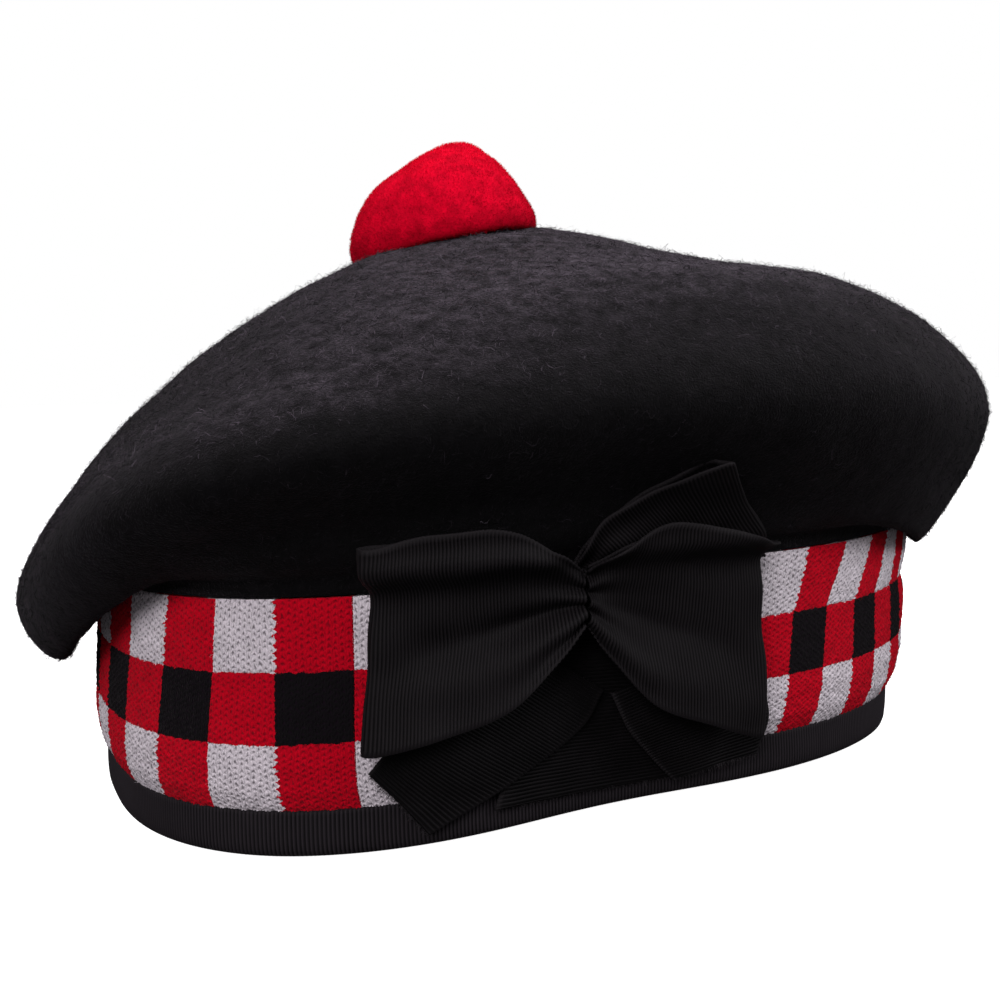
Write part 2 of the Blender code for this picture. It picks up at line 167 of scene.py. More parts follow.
# One bow loop, out along its front layer, round its end and back along its rear layer.
# reach: share of the loop's reach. tuck: how far back from there, share of the loop's depth.
# lift: share of its depth. spread: share of its half width.
# valley: share of the valley's depth pressed into the middle of the front layer.
LoopRow = namedtuple("LoopRow", "reach tuck lift spread valley")
LOOP_ROWS = (
    LoopRow(0.00, 0.00, 0.90, 0.27, 0.0),
    LoopRow(0.14, 0.00, 1.00, 0.56, 0.7),
    LoopRow(0.38, 0.00, 1.00, 0.92, 1.0),
    LoopRow(0.68, 0.00, 0.98, 1.00, 0.7),
    LoopRow(1.00, 0.48, 0.94, 1.00, 0.1),
    LoopRow(1.00, 0.14, 0.80, 1.00, 0.0),
    LoopRow(1.00, 0.00, 0.47, 1.00, 0.0),
    LoopRow(1.00, 0.14, 0.14, 1.00, 0.0),
    LoopRow(1.00, 0.48, 0.00, 1.00, 0.0),
    LoopRow(0.60, 0.00, 0.00, 0.94, 0.0),
    LoopRow(0.28, 0.00, 0.00, 0.68, 0.0),
    LoopRow(0.02, 0.00, 0.10, 0.30, 0.0),
)

# The three loops, all starting at the pinch in the middle of the bow.
# way: -1 towards the front, 1 towards the back. reach: share of BOW_REACH. rise: share of BOW_REACH.
# half: half width, share of RIBBON_WIDTH. tilt: degrees. slant: how much shorter the upper edge is,
# share of the half width. rear: stand-off of the rear layer. depth: from the rear layer to the front
# one. flat: length of ribbon in the loop.
Loop = namedtuple("Loop", "piece node way reach rise half tilt slant rear depth flat")
LOOPS = (
    Loop("bow_front_ribbon", "bow_front_loop", -1, 0.92, -0.11, 0.43, 0.0, 0.07, 0.0053, 0.0066, 0.100),
    Loop("bow_back_ribbon", "bow_back_loop", 1, 0.80, -0.27, 0.46, 0.0, 0.0, 0.0059, 0.0054, 0.085),
    Loop("bow_upper_ribbon", "bow_upper_loop", 1, 0.73, 0.32, 0.33, 42.0, 0.0, 0.0005, 0.0050, 0.085),
)

# Tails of the bow, from where each leaves the loops to its cut end.
# front, back: the two edges, arc from the pinch as share of BOW_REACH. front_up, back_up: their
# heights, share of BAND_HEIGHT. lift: stand-off from what lies behind.
TailRow = namedtuple("TailRow", "front front_up back back_up lift")
TAILS = {
    "bow_centre_tail": (
        TailRow(-0.16, 0.98, 0.18, 0.98, 0.0005),
        TailRow(-0.26, 0.60, 0.32, 0.56, 0.0005),
        TailRow(-0.38, 0.30, 0.48, 0.26, 0.0006),
        TailRow(-0.46, 0.10, 0.60, 0.08, 0.0007),
    ),
    "bow_front_tail": (
        TailRow(-0.34, 0.80, 0.11, 0.52, 0.0025),
        TailRow(-0.54, 0.72, -0.02, 0.38, 0.0023),
        TailRow(-0.80, 0.52, -0.34, 0.22, 0.0021),
        TailRow(-0.99, 0.33, -0.76, 0.06, 0.0020),
    ),
    "bow_back_tail": (
        TailRow(0.14, 0.50, 0.80, 0.66, 0.0025),
        TailRow(0.22, 0.34, 0.90, 0.48, 0.0023),
        TailRow(0.34, 0.20, 0.95, 0.30, 0.0021),
        TailRow(0.46, 0.08, 0.92, 0.13, 0.0020),
    ),
}

# Side of the toorie from its seat to its top. out: radius, share of half its width.
# up: height above the seat, share of its height.
DomeRow = namedtuple("DomeRow", "out up")
DOME_ROWS = (
    DomeRow(0.00, 0.000),
    DomeRow(0.60, -0.040),
    DomeRow(0.94, -0.110),
    DomeRow(0.985, -0.070),
    DomeRow(1.00, 0.025),
    DomeRow(0.985, 0.110),
    DomeRow(0.945, 0.220),
    DomeRow(0.855, 0.420),
    DomeRow(0.70, 0.640),
    DomeRow(0.50, 0.790),
    DomeRow(0.33, 0.905),
    DomeRow(0.17, 0.978),
    DomeRow(0.00, 1.000),
)

# Section of the rim's ribbon, from its outer edge down round the rim and up to its inner edge.
# leg: 0 for the outer one, 1 for the inner one. out: from that leg's face. up: over the floor.
# rib: how much of a rib shows there.
BindingRow = namedtuple("BindingRow", "leg out up rib")
BINDING_ROWS = (
    BindingRow(0, -0.00090, 0.0066, 0.0),
    BindingRow(0, -0.00080, 0.0086, 0.0),
    BindingRow(0, -0.00045, 0.0088, 0.3),
    BindingRow(0, -0.00015, 0.0085, 0.8),
    BindingRow(0, -0.00012, 0.0078, 1.0),
    BindingRow(0, -0.00005, 0.0060, 1.0),
    BindingRow(0, 0.00000, 0.0042, 1.0),
    BindingRow(0, -0.00003, 0.0026, 1.0),
    BindingRow(0, -0.00012, 0.0014, 1.0),
    BindingRow(0, -0.00045, 0.00045, 1.0),
    BindingRow(0, -0.00120, 0.00004, 0.2),
    BindingRow(0, -0.00220, 0.00003, 0.0),
    BindingRow(1, 0.00120, 0.00004, 0.2),
    BindingRow(1, 0.00045, 0.00045, 1.0),
    BindingRow(1, 0.00010, 0.0020, 1.0),
    BindingRow(1, 0.00000, 0.0050, 1.0),
    BindingRow(1, 0.00010, 0.0080, 1.0),
    BindingRow(1, 0.00050, 0.0088, 0.3),
    BindingRow(1, 0.00090, 0.0084, 0.0),
    BindingRow(1, 0.00090, 0.0066, 0.0),
)

# Soft lights. azimuth, elevation: degrees round from the front and over the floor.
Light = namedtuple("Light", "name azimuth elevation distance size power colour")
LIGHTS = (
    Light("key_light", -18.0, 58.0, 1.6, 1.0, 8.5, (1.0, 0.97, 0.98)),
    Light("front_light", 44.0, 24.0, 1.6, 0.7, 15.5, (1.0, 0.98, 1.0)),
    Light("top_light", 150.0, 78.0, 1.5, 1.2, 21.0, (1.0, 0.97, 0.99)),
    Light("rim_light", 140.0, 30.0, 1.7, 0.8, 14.0, (0.97, 0.98, 1.0)),
)


def length_setting(name, description, default):
    return bpy.props.FloatProperty(
        name=name, description=description, default=default, min=0.0, unit="LENGTH", precision=5
    )


def count_setting(name, description, default):
    return bpy.props.IntProperty(name=name, description=description, default=default, min=0)


def angle_setting(name, description, degrees):
    return bpy.props.FloatProperty(
        name=name, description=description, default=math.radians(degrees), subtype="ANGLE"
    )


def colour_setting(name, description, default):
    return bpy.props.FloatVectorProperty(
        name=name, description=description, default=default, size=3, min=0.0, max=1.0, subtype="COLOR"
    )


class FeltSettings(bpy.types.PropertyGroup):
    """Felt crown and its nap."""

    colour: colour_setting("Felt colour", "Colour of the felted wool", (0.0026, 0.0023, 0.0027))
    nap_colour: colour_setting("Nap colour", "Colour of the palest fibres", (0.094, 0.077, 0.098))
    unevenness: length_setting("Unevenness", "Depth of the soft dents in the felt", 0.0014)
    nap_count: count_setting("Nap fibres", "Short fibres that lie on the felt, in two layers", 98000)
    nap_length: length_setting("Nap length", "Length of a usual fibre", 0.0016)
    nap_width: length_setting("Nap width", "Width of a fibre at its root", 0.000095)
    stray_count: count_setting("Stray fibres", "Long loose fibres that stand off the felt", 6000)
    stray_length: length_setting("Stray length", "Length of a usual stray fibre", 0.0019)


class BandSettings(bpy.types.PropertyGroup):
    """Knitted band."""

    red: colour_setting("Red dice", "Colour of the red yarn", (0.60, 0.0012, 0.014))
    white: colour_setting("White dice", "Colour of the off-white yarn", (0.81, 0.73, 0.79))
    black: colour_setting("Black dice", "Colour of the black yarn", (0.0060, 0.0052, 0.0060))
    stitch_depth: length_setting("Stitch depth", "How far a stitch stands proud", 0.00034)
    puff: length_setting("Puff", "How far a white die stands proud", 0.00042)
    fuzz_count: count_setting("Fuzz fibres", "Loose ends of yarn over the band", 36000)
    fuzz_length: length_setting("Fuzz length", "Length of a usual loose end", 0.0011)


class RibbonSettings(bpy.types.PropertyGroup):
    """Ribbed ribbon of the rim and the bow."""

    colour: colour_setting("Ribbon colour", "Colour of the ribbed ribbon", (0.0073, 0.0062, 0.0070))
    rim_colour: colour_setting("Rim colour", "Colour of the ribbon on the rim", (0.0128, 0.0107, 0.0126))
    rib_pitch: length_setting("Rib pitch", "Distance from rib to rib", 0.00072)
    rib_depth: length_setting("Rib depth", "Height of a rib over its groove", 0.00021)
    wall: length_setting("Ribbon thickness", "Thickness of the bow's ribbon", 0.00045)
    valley: length_setting("Loop valley", "Depth of the crease along a loop", 0.0052)
    crumple: length_setting("Crumple", "Depth of the soft waves in the bow's ribbon", 0.0006)
    thread_count: count_setting("Frayed threads", "Threads at each cut end of the bow", 420)
    thread_length: length_setting("Thread length", "Length of the longest frayed thread", 0.0014)


class ToorieSettings(bpy.types.PropertyGroup):
    """Wool pompom on the crown."""

    colour: colour_setting("Wool colour", "Colour of the clipped wool", (0.66, 0.0004, 0.019))
    # Painted shade: the dark colour between the tufts and low down on the pile
    painted_shade_colour: colour_setting("Deep wool colour", "Colour between the tufts", (0.27, 0.0002, 0.008))
    width: length_setting("Width", "Width across the pile", 0.0466)
    height: length_setting("Height", "Height over the felt", 0.0233)
    lean: length_setting("Lean", "How far the top leans to the back", 0.0086)
    forward: length_setting("Forward", "Seat in front of the head opening's middle", 0.0142)
    sideways: bpy.props.FloatProperty(
        name="Sideways", description="Seat towards the wearer's left", default=-0.0085, unit="LENGTH"
    )
    pile_count: count_setting("Pile fibres", "Wool ends over the dome", 49000)
    pile_length: length_setting("Pile length", "Length of a wool end that shows", 0.0010)
    pile_width: length_setting("Pile width", "Width of a wool end", 0.00014)


class StageSettings(bpy.types.PropertyGroup):
    """Floor, light and camera."""

    floor_colour: colour_setting("Floor colour", "Colour of the floor", (0.86, 0.86, 0.87))
    azimuth: angle_setting("Azimuth", "Camera angle round from the front", 57.0)
    elevation: angle_setting("Elevation", "Camera angle over the floor", 4.2)
    roll: angle_setting("Roll", "Turn about the view line", -1.7)
    distance: length_setting("Distance", "Camera to the hat's middle", 0.35)
    aim_height: length_setting("Aim height", "Height the camera looks at", 0.061)
    lens: bpy.props.FloatProperty(
        name="Lens", description="Focal length in millimetres", default=51.23, min=1.0
    )


class BonnetSettings(bpy.types.PropertyGroup):
    """All settings of the bonnet."""

    felt: bpy.props.PointerProperty(type=FeltSettings, name="Felt", description="Felt crown")
    band: bpy.props.PointerProperty(type=BandSettings, name="Band", description="Knitted band")
    ribbon: bpy.props.PointerProperty(type=RibbonSettings, name="Ribbon", description="Ribbed ribbon")
    toorie: bpy.props.PointerProperty(type=ToorieSettings, name="Toorie", description="Pompom")
    stage: bpy.props.PointerProperty(type=StageSettings, name="Stage", description="Floor and light")


# Curves and surfaces shared by the pieces


def unit(vectors):
    """Vectors brought to a length of one."""
    return vectors / np.maximum(np.linalg.norm(vectors, axis=-1, keepdims=True), 1e-12)


def run_along(points):
    """Length along a row of points up to each of them."""
    return np.concatenate([[0.0], np.cumsum(np.linalg.norm(np.diff(points, axis=0), axis=1))])


def read_curve(marks, run, points):
    """Places at marks along the run of a row of points (point, axis)."""
    return np.stack([np.interp(marks, run, values) for values in points.T], axis=-1)


def about_axis(radius, angles, heights):
    """Places in space from a radius, an angle in degrees and a height."""
    turn = np.radians(angles)
    return np.stack(np.broadcast_arrays(radius * np.cos(turn), radius * np.sin(turn), heights), axis=-1)


def turned(angles, flat):
    """Points (radius, height) at each angle, as places in space."""
    return about_axis(flat[..., 0], angles[:, None], flat[..., 1])


def around(column, angles):
    """A column of MERIDIANS at any angles, on a closed cubic spline through its rows."""
    rows = np.array([getattr(row, column) for row in MERIDIANS])
    count = len(rows)
    same = np.eye(count)
    system = 4.0 * same + np.roll(same, 1, axis=0) + np.roll(same, -1, axis=0)
    bend = np.linalg.solve(system, 6.0 * (np.roll(rows, -1) - 2.0 * rows + np.roll(rows, 1)))
    place = np.mod(angles, 360.0) * count / 360.0
    first = np.floor(place).astype(int) % count
    second = (first + 1) % count
    b = place - np.floor(place)
    a = 1.0 - b
    curve = ((a**3 - a) * bend[first] + (b**3 - b) * bend[second]) / 6.0
    return a * rows[first] + b * rows[second] + curve


def rim_radius(angles):
    return around("band", angles) * HEAD_LENGTH / 2


def band_lean(angles):
    return around("flare", angles) * BAND_SWELL


def tucked(angles, heights):
    """How far the band is drawn in at the back of the head: most at the rim, with a crease above."""
    share = np.clip(1.0 - heights / BAND_HEIGHT, 0.0, 1.0) ** TUCK_POWER
    crease = np.exp(-(((heights - CREASE_HEIGHT) / CREASE_SPREAD) ** 2))
    away = (np.mod(angles - TUCK_ANGLE + 180.0, 360.0) - 180.0) / TUCK_SPREAD
    return (TUCK_DEPTH * share + CREASE_DEPTH * crease) * np.exp(-(away**4))


def curve_through(points, steps, beyond):
    """Centripetal curves through rows of points (curve, point, axis), on towards beyond at the end."""
    before = points[:, :1] * 2 - points[:, 1:2]
    ends = np.concatenate([before, points, beyond], axis=1)
    gaps = np.sqrt(np.linalg.norm(np.diff(ends, axis=1), axis=2))
    knots = np.concatenate([np.zeros((len(gaps), 1)), np.cumsum(gaps, axis=1)], axis=1)[:, :, None]
    share = (np.arange(steps) / steps)[None, :, None]
    parts = []
    for k in range(1, ends.shape[1] - 2):
        p0, p1, p2, p3 = (ends[:, k + step, None] for step in (-1, 0, 1, 2))
        t0, t1, t2, t3 = (knots[:, k + step, None] for step in (-1, 0, 1, 2))
        t = t1 + (t2 - t1) * share
        a1 = p0 * (t1 - t) / (t1 - t0) + p1 * (t - t0) / (t1 - t0)
        a2 = p1 * (t2 - t) / (t2 - t1) + p2 * (t - t1) / (t2 - t1)
        a3 = p2 * (t3 - t) / (t3 - t2) + p3 * (t - t2) / (t3 - t2)
        b1 = a1 * (t2 - t) / (t2 - t0) + a2 * (t - t0) / (t2 - t0)
        b2 = a2 * (t3 - t) / (t3 - t1) + a3 * (t - t1) / (t3 - t1)
        parts.append(b1 * (t2 - t) / (t2 - t1) + b2 * (t - t1) / (t2 - t1))
    parts.append(points[:, -1:])
    return np.concatenate(parts, axis=1)


def blurred(values, passes, axis):
    """Values eased along an axis by their neighbours, with the two ends kept."""
    values = np.moveaxis(values.copy(), axis, 0)
    for _ in range(passes):
        values[1:-1] = values[:-2] * 0.25 + values[1:-1] * 0.5 + values[2:] * 0.25
    return np.moveaxis(values, 0, axis)


def along_path(path, shares):
    """Points at shares of each curve's length."""
    runs = [run_along(curve) for curve in path]
    return np.stack([read_curve(shares * run[-1], run, curve) for run, curve in zip(runs, path)])


def table_curve(rows, steps, count, past_end=None):
    """A table's columns along one smooth curve through its rows, at evenly spaced points."""
    points = np.array([[tuple(row) for row in rows]])
    if past_end is None:
        beyond = points[:, -1:] * 2 - points[:, -2:-1]
    else:
        beyond = points[:, -2:-1] * past_end
    return along_path(curve_through(points, steps, beyond), np.linspace(0.0, 1.0, count))[0]


def crown_path(angles, steps=24):
    """Outer face of the crown at each angle, from the band's top to the middle, its roll eased."""
    base = rim_radius(angles) + band_lean(angles)
    reach = base + around("over", angles) * CROWN_OVERHANG
    foot = np.full_like(base, BAND_HEIGHT + CLEARANCE)
    neck = foot + CROWN_NECK
    low_out = (reach - base) * around("under", angles)
    low_up = around("low", angles) * BAND_HEIGHT
    rows = (
        (base, foot),
        (base + CROWN_NECK / 6, neck),
        (base + CROWN_NECK / 3 + low_out / 3, neck + (low_up - neck) / 4),
        (base + low_out, low_up),
        (reach, around("edge", angles) * CROWN_HEIGHT),
        (reach * SHOULDER_REACH, around("shoulder", angles) * CROWN_HEIGHT),
        (reach * MID_REACH, around("mid", angles) * CROWN_HEIGHT),
        (np.zeros_like(base), np.full_like(base, CROWN_HEIGHT)),
    )
    points = np.stack([np.stack(row, axis=-1) for row in rows], axis=1)
    beyond = points[:, -2:-1] * np.array((-1.0, 1.0))
    path = curve_through(points, steps, beyond)
    path = along_path(path, np.linspace(0.0, 1.0, 8 * steps))
    mirrored = path[:, -2::-1] * np.array((-1.0, 1.0))
    eased = blurred(np.concatenate([path, mirrored], axis=1), ROLL_EASE, axis=1)[:, : path.shape[1]]
    on_roll = np.clip((np.arange(path.shape[1]) / steps - ROLL_FROM) / ROLL_OVER, 0.0, 1.0)
    on_roll = on_roll * on_roll * (3.0 - 2.0 * on_roll)
    return path + (eased - path) * on_roll[:, None]


def grid_normals(grid, closed=False):
    """Unit normals of a grid of points, turned the way that its two directions give."""
    along = np.gradient(grid, axis=0)
    if closed:
        along[0] = along[-1] = (grid[1] - grid[-2]) / 2
    return unit(np.cross(along, np.gradient(grid, axis=1)))


def soft_noise(points, size, seed):
    """Smooth noise from -1 to 1 at each point, with features of about that size."""
    shift = Vector((seed, seed * 0.7, -seed))
    flat = (points / size).reshape(-1, 3).tolist()
    values = [noise.noise(Vector(p) + shift) for p in flat]
    return np.array(values).reshape(points.shape[:-1])


def rim_table():
    """Angle against arc length round the rim, from DICE_ANGLE, over one turn each way."""
    angles = np.linspace(DICE_ANGLE - 360.0, DICE_ANGLE + 360.0, 2881)
    run = run_along(about_axis(rim_radius(angles), angles, 0.0))
    return angles, run - run[len(angles) // 2]


RIM_ANGLES, RIM_ARCS = rim_table()
RIM_LENGTH = RIM_ARCS[-1]
BOW_ARC = float(np.interp(BOW_ANGLE, RIM_ANGLES, RIM_ARCS))


def angle_at(arcs):
    """Polar angle at arcs along the rim from DICE_ANGLE."""
    return np.interp(arcs, RIM_ARCS, RIM_ANGLES)


def swell_at(share, least=-1.0):
    """How far the band's outer face stands proud of the rim outline at a share of its height."""
    heights = [row.height for row in BAND_ROWS]
    return np.interp(share, heights, [max(row.swell, least) for row in BAND_ROWS]) * BAND_SWELL


def band_face(angles, heights):
    """Radius of the band's outer face without its stitches."""
    share = heights / BAND_HEIGHT
    return rim_radius(angles) + swell_at(share) + band_lean(angles) * share - tucked(angles, heights)


def dice_arcs(die):
    """Arc along the rim at a count of dice, before they slide."""
    return np.interp(
        die,
        (0.0, DICE_UNDER_BOW, DICE_COUNT),
        (DICE_FIRST_ARC, DICE_LAST_ARC, DICE_FIRST_ARC + RIM_LENGTH),
    )


def dice_slip(die, heights):
    """How far dice slide round the head with their height: bunched in front of the bow, leaning behind."""
    up = (heights - DICE_HEIGHTS[0]) / (BAND_HEIGHT - DICE_HEIGHTS[0])
    before = np.maximum(DICE_COUNT - 1 - die, 0.0)
    bunch = FRONT_BUNCH * before * np.exp(-((before / FRONT_BUNCH_DICE) ** 2)) * up
    behind = np.maximum(die - DICE_UNDER_BOW, 0.0)
    top = np.clip((heights - DICE_HEIGHTS[2]) / (BAND_HEIGHT - DICE_HEIGHTS[2]), 0.0, 1.0)
    held = 1.0 - top * np.exp(-((behind / LOOSE_TOP_DICE) ** 2))
    gather = BACK_GATHER * behind * np.exp(-((behind / BACK_GATHER_DICE) ** 2)) * held
    fade = np.clip(die / DICE_UNDER_BOW, 0.0, 1.0) ** 2 * np.exp(-((behind / BACK_LEAN_DICE) ** 2))
    return bunch - gather + fade * np.interp(heights, DICE_HEIGHTS, BACK_LEAN)


def face_table():
    """Radius of what the bow lies on, by angle and height: the band, then the crown's underside."""
    angles = np.arange(FACE_FROM, FACE_TO, FACE_TURN)
    heights = np.arange(0.0, FACE_TOP, FACE_RISE)
    share = heights / BAND_HEIGHT
    lean = band_lean(angles)[:, None] * np.minimum(share, 1.0)
    face = rim_radius(angles)[:, None] + swell_at(share, least=0.0) + lean
    high = heights > BAND_HEIGHT + CLEARANCE
    for i, curve in enumerate(crown_path(angles)):
        widest = int(np.argmax(curve[:, 0]))
        lower = np.maximum.accumulate(curve[: widest + 1, 1])
        under = np.interp(heights, lower, curve[: widest + 1, 0])
        face[i, high] = np.maximum(under[high], face[i, high])
    return angles, heights, blurred(blurred(face, 24, axis=1), 6, axis=0)


FACE_ANGLES, FACE_HEIGHTS, FACE = face_table()
FACE_SLOPE = np.gradient(FACE, FACE_HEIGHTS, axis=1)


def read_face(table, angles, heights):
    """A face table between its entries."""
    a = np.clip((angles - FACE_FROM) / FACE_TURN, 0, len(FACE_ANGLES) - 1.001)
    h = np.clip(heights / FACE_RISE, 0, len(FACE_HEIGHTS) - 1.001)
    i, j = a.astype(int), h.astype(int)
    p, q = a - i, h - j
    low = table[i, j] * (1 - q) + table[i, j + 1] * q
    high = table[i + 1, j] * (1 - q) + table[i + 1, j + 1] * q
    return low * (1 - p) + high * p


def on_hat(arcs, heights, lifts):
    """Places that stand off the hat's outer face, by arc from the bow's middle."""
    angles = angle_at(arcs + BOW_ARC)
    slope = read_face(FACE_SLOPE, angles, heights)
    radius = read_face(FACE, angles, heights) + lifts * np.hypot(1.0, slope)
    return about_axis(radius, angles, heights)


# Meshes from grids and fibres


def pick_none():
    if bpy.context.mode != "OBJECT":
        bpy.ops.object.mode_set(mode="OBJECT")
    bpy.ops.object.select_all(action="DESELECT")


def pick(piece):
    pick_none()
    piece.select_set(True)
    bpy.context.view_layer.objects.active = piece


def grid_piece(name, grid):
    """A primitive grid whose points take their places from an array (column, row, axis)."""
    columns, rows = grid.shape[0] - 1, grid.shape[1] - 1
    pick_none()
    bpy.ops.mesh.primitive_grid_add(x_subdivisions=columns, y_subdivisions=rows, size=1.0)
    piece = bpy.context.object
    piece.name = piece.data.name = name
    mesh = piece.data
    flat = np.empty(len(mesh.vertices) * 3)
    mesh.vertices.foreach_get("co", flat)
    flat = flat.reshape(-1, 3)
    i = np.rint((flat[:, 0] + 0.5) * columns).astype(int)
    j = np.rint((flat[:, 1] + 0.5) * rows).astype(int)
    mesh.vertices.foreach_set("co", grid[i, j].ravel())
    return piece, i, j


def set_uv(piece, i, j, grid_u, grid_v):
    """UV map of a grid piece from two arrays (column, row)."""
    mesh = piece.data
    corners = np.empty(len(mesh.loops), dtype=np.int32)
    mesh.loops.foreach_get("vertex_index", corners)
    uv = np.stack([grid_u[i, j][corners], grid_v[i, j][corners]], axis=-1)
    mesh.uv_layers[0].data.foreach_set("uv", uv.ravel().astype(np.float32))


def set_shade(piece, values):
    """A point attribute that materials read."""
    attribute = piece.data.attributes.new("shade", "FLOAT", "POINT")
    attribute.data.foreach_set("value", np.asarray(values, dtype=np.float32))


def merge_points(piece):
    pick(piece)
    bpy.ops.object.mode_set(mode="EDIT")
    bpy.ops.mesh.select_all(action="SELECT")
    bpy.ops.mesh.remove_doubles(threshold=1e-6)
    bpy.ops.object.mode_set(mode="OBJECT")


def thicken(piece, wall):
    """Gives a sheet its wall, on the side that its normals point away from."""
    modifier = piece.modifiers.new("wall", "SOLIDIFY")
    modifier.thickness = wall
    modifier.offset = -1.0
    pick(piece)
    bpy.ops.object.modifier_apply(modifier=modifier.name)


def set_down(piece):
    """Moves a finished piece from the head opening's middle to the frame of the solids."""
    piece.data.transform(Matrix.Translation((-BOX_SIDEWAYS, -BOX_BACK, 0.0)))
    piece.data.shade_smooth()
    piece.data.update()


def finish_piece(piece, material, nodes=()):
    piece.data.materials.clear()
    piece.data.materials.append(material)
    set_down(piece)
    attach(piece, "root")
    if nodes:
        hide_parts(*nodes)


def scattered(random, count, grid, normal, skip=0):
    """Places spread evenly over a grid of points, with the normal and the grid place of each."""
    along = grid[1:, :-1] - grid[:-1, :-1]
    across = grid[:-1, 1:] - grid[:-1, :-1]
    cells = np.linalg.norm(np.cross(along, across), axis=-1)
    cells[:, :skip] = 0.0
    weights = cells.ravel() / cells.sum()
    i, j = np.unravel_index(random.choice(len(weights), size=count, p=weights), cells.shape)
    p, q = random.random(count)[:, None], random.random(count)[:, None]
    low = grid[i, j] * (1 - p) + grid[i + 1, j] * p
    high = grid[i, j + 1] * (1 - p) + grid[i + 1, j + 1] * p
    return low * (1 - q) + high * q, normal[i, j], i + p[:, 0], j + q[:, 0]


def bowed(random, way, length, share):
    """How far the middle of each fibre bows aside, up to about a share of its length."""
    return np.cross(way, random.normal(size=way.shape)) * (length * share)[:, None]


def fibre_piece(name, roots, way, length, bends, widths, shades, levels=2):
    """Many thin tapered strips, each with its way, length, bow, width at its root and shade."""
    count = len(roots)
    run = way * length[:, None]
    random = np.random.default_rng(77)
    side = unit(np.cross(run, random.normal(size=(count, 3))))
    points = np.empty((count, levels + 1, 2, 3))
    for level in range(levels + 1):
        t = level / levels
        middle = roots + run * t + bends * (4.0 * t * (1.0 - t))
        half = side * (widths * (1.0 - 0.75 * t) / 2)[:, None]
        points[:, level, 0] = middle - half
        points[:, level, 1] = middle + half
    mesh = bpy.data.meshes.new(name)
    per = 2 * (levels + 1)
    base = np.arange(count)[:, None, None] * per
    step = np.arange(levels)[None, :, None] * 2
    quads = (base + step + np.array((0, 1, 3, 2))[None, None, :]).reshape(-1)
    faces = count * levels
    mesh.vertices.add(count * per)
    mesh.vertices.foreach_set("co", points.ravel())
    mesh.loops.add(faces * 4)
    mesh.loops.foreach_set("vertex_index", quads.astype(np.int32))
    mesh.polygons.add(faces)
    mesh.polygons.foreach_set("loop_start", np.arange(faces, dtype=np.int32) * 4)
    mesh.update(calc_edges=True)
    piece = bpy.data.objects.new(name, mesh)
    bpy.context.scene.collection.objects.link(piece)
    set_shade(piece, np.repeat(shades, per))
    return piece


# Materials


def new_material(name, roughness, specular):
    material = bpy.data.materials.new(name)
    material.use_nodes = True
    tree = material.node_tree
    shader = tree.nodes["Principled BSDF"]
    shader.inputs["Roughness"].default_value = roughness
    shader.inputs["Specular IOR Level"].default_value = specular
    return material, tree, shader


def maths(tree, operation, *values):
    """A maths node, where each value is a socket or a number."""
    node = tree.nodes.new("ShaderNodeMath")
    node.operation = operation
    for socket, value in zip(node.inputs, values):
        if isinstance(value, (int, float)):
            socket.default_value = value
        else:
            tree.links.new(value, socket)
    return node.outputs[0]


def mixed(tree, share, first, second):
    """A colour between two, where each is a socket or a colour."""
    node = tree.nodes.new("ShaderNodeMix")
    node.data_type = "RGBA"
    for socket, value in ((node.inputs[0], share), (node.inputs[6], first), (node.inputs[7], second)):
        if isinstance(value, bpy.types.NodeSocket):
            tree.links.new(value, socket)
        else:
            socket.default_value = (*value, 1.0)
    return node.outputs[2]


def ranged(tree, value, low, high, to_low=0.0, to_high=1.0):
    node = tree.nodes.new("ShaderNodeMapRange")
    tree.links.new(value, node.inputs[0])
    for socket, number in zip(node.inputs[1:5], (low, high, to_low, to_high)):
        socket.default_value = number
    return node.outputs[0]


def noise_node(tree, vector, detail, roughness):
    node = tree.nodes.new("ShaderNodeTexNoise")
    tree.links.new(vector, node.inputs["Vector"])
    node.inputs["Scale"].default_value = 1.0
    node.inputs["Detail"].default_value = detail
    node.inputs["Roughness"].default_value = roughness
    return node.outputs["Fac"]


def wool_group():
    """Wool: mottle is a slow variation, fibres a fine one, height a surface of matted fibres."""
    group = bpy.data.node_groups.new("matted_wool", "ShaderNodeTree")
    interface = group.interface
    for name, value in (("Mottle Size", 0.012), ("Fibre Size", 0.0005), ("Streak", 3.0)):
        socket = interface.new_socket(name=name, in_out="INPUT", socket_type="NodeSocketFloat")
        socket.default_value = value
    interface.new_socket(name="Vector", in_out="INPUT", socket_type="NodeSocketVector")
    for name in ("Mottle", "Fibres", "Height"):
        interface.new_socket(name=name, in_out="OUTPUT", socket_type="NodeSocketFloat")
    entry = group.nodes.new("NodeGroupInput")
    leave = group.nodes.new("NodeGroupOutput")

    def sized(size, streak_axis=None):
        """The place divided by a size, which is longer along the axis that its streaks run in."""
        sizes = group.nodes.new("ShaderNodeCombineXYZ")
        for axis in range(3):
            along = maths(group, "MULTIPLY", size, entry.outputs["Streak"]) if axis == streak_axis else size
            group.links.new(along, sizes.inputs[axis])
        place = group.nodes.new("ShaderNodeVectorMath")
        place.operation = "DIVIDE"
        group.links.new(entry.outputs["Vector"], place.inputs[0])
        group.links.new(sizes.outputs[0], place.inputs[1])
        return place.outputs[0]

    mottle = noise_node(group, sized(entry.outputs["Mottle Size"]), 3.0, 0.6)
    x, y, z = (noise_node(group, sized(entry.outputs["Fibre Size"], axis), 2.0, 0.7) for axis in range(3))
    fibres = maths(group, "MAXIMUM", x, maths(group, "MAXIMUM", y, z))
    height = maths(group, "ADD", maths(group, "MULTIPLY", mottle, 0.6), fibres)
    for name, value in (("Mottle", mottle), ("Fibres", fibres), ("Height", height)):
        group.links.new(value, leave.inputs[name])
    return group


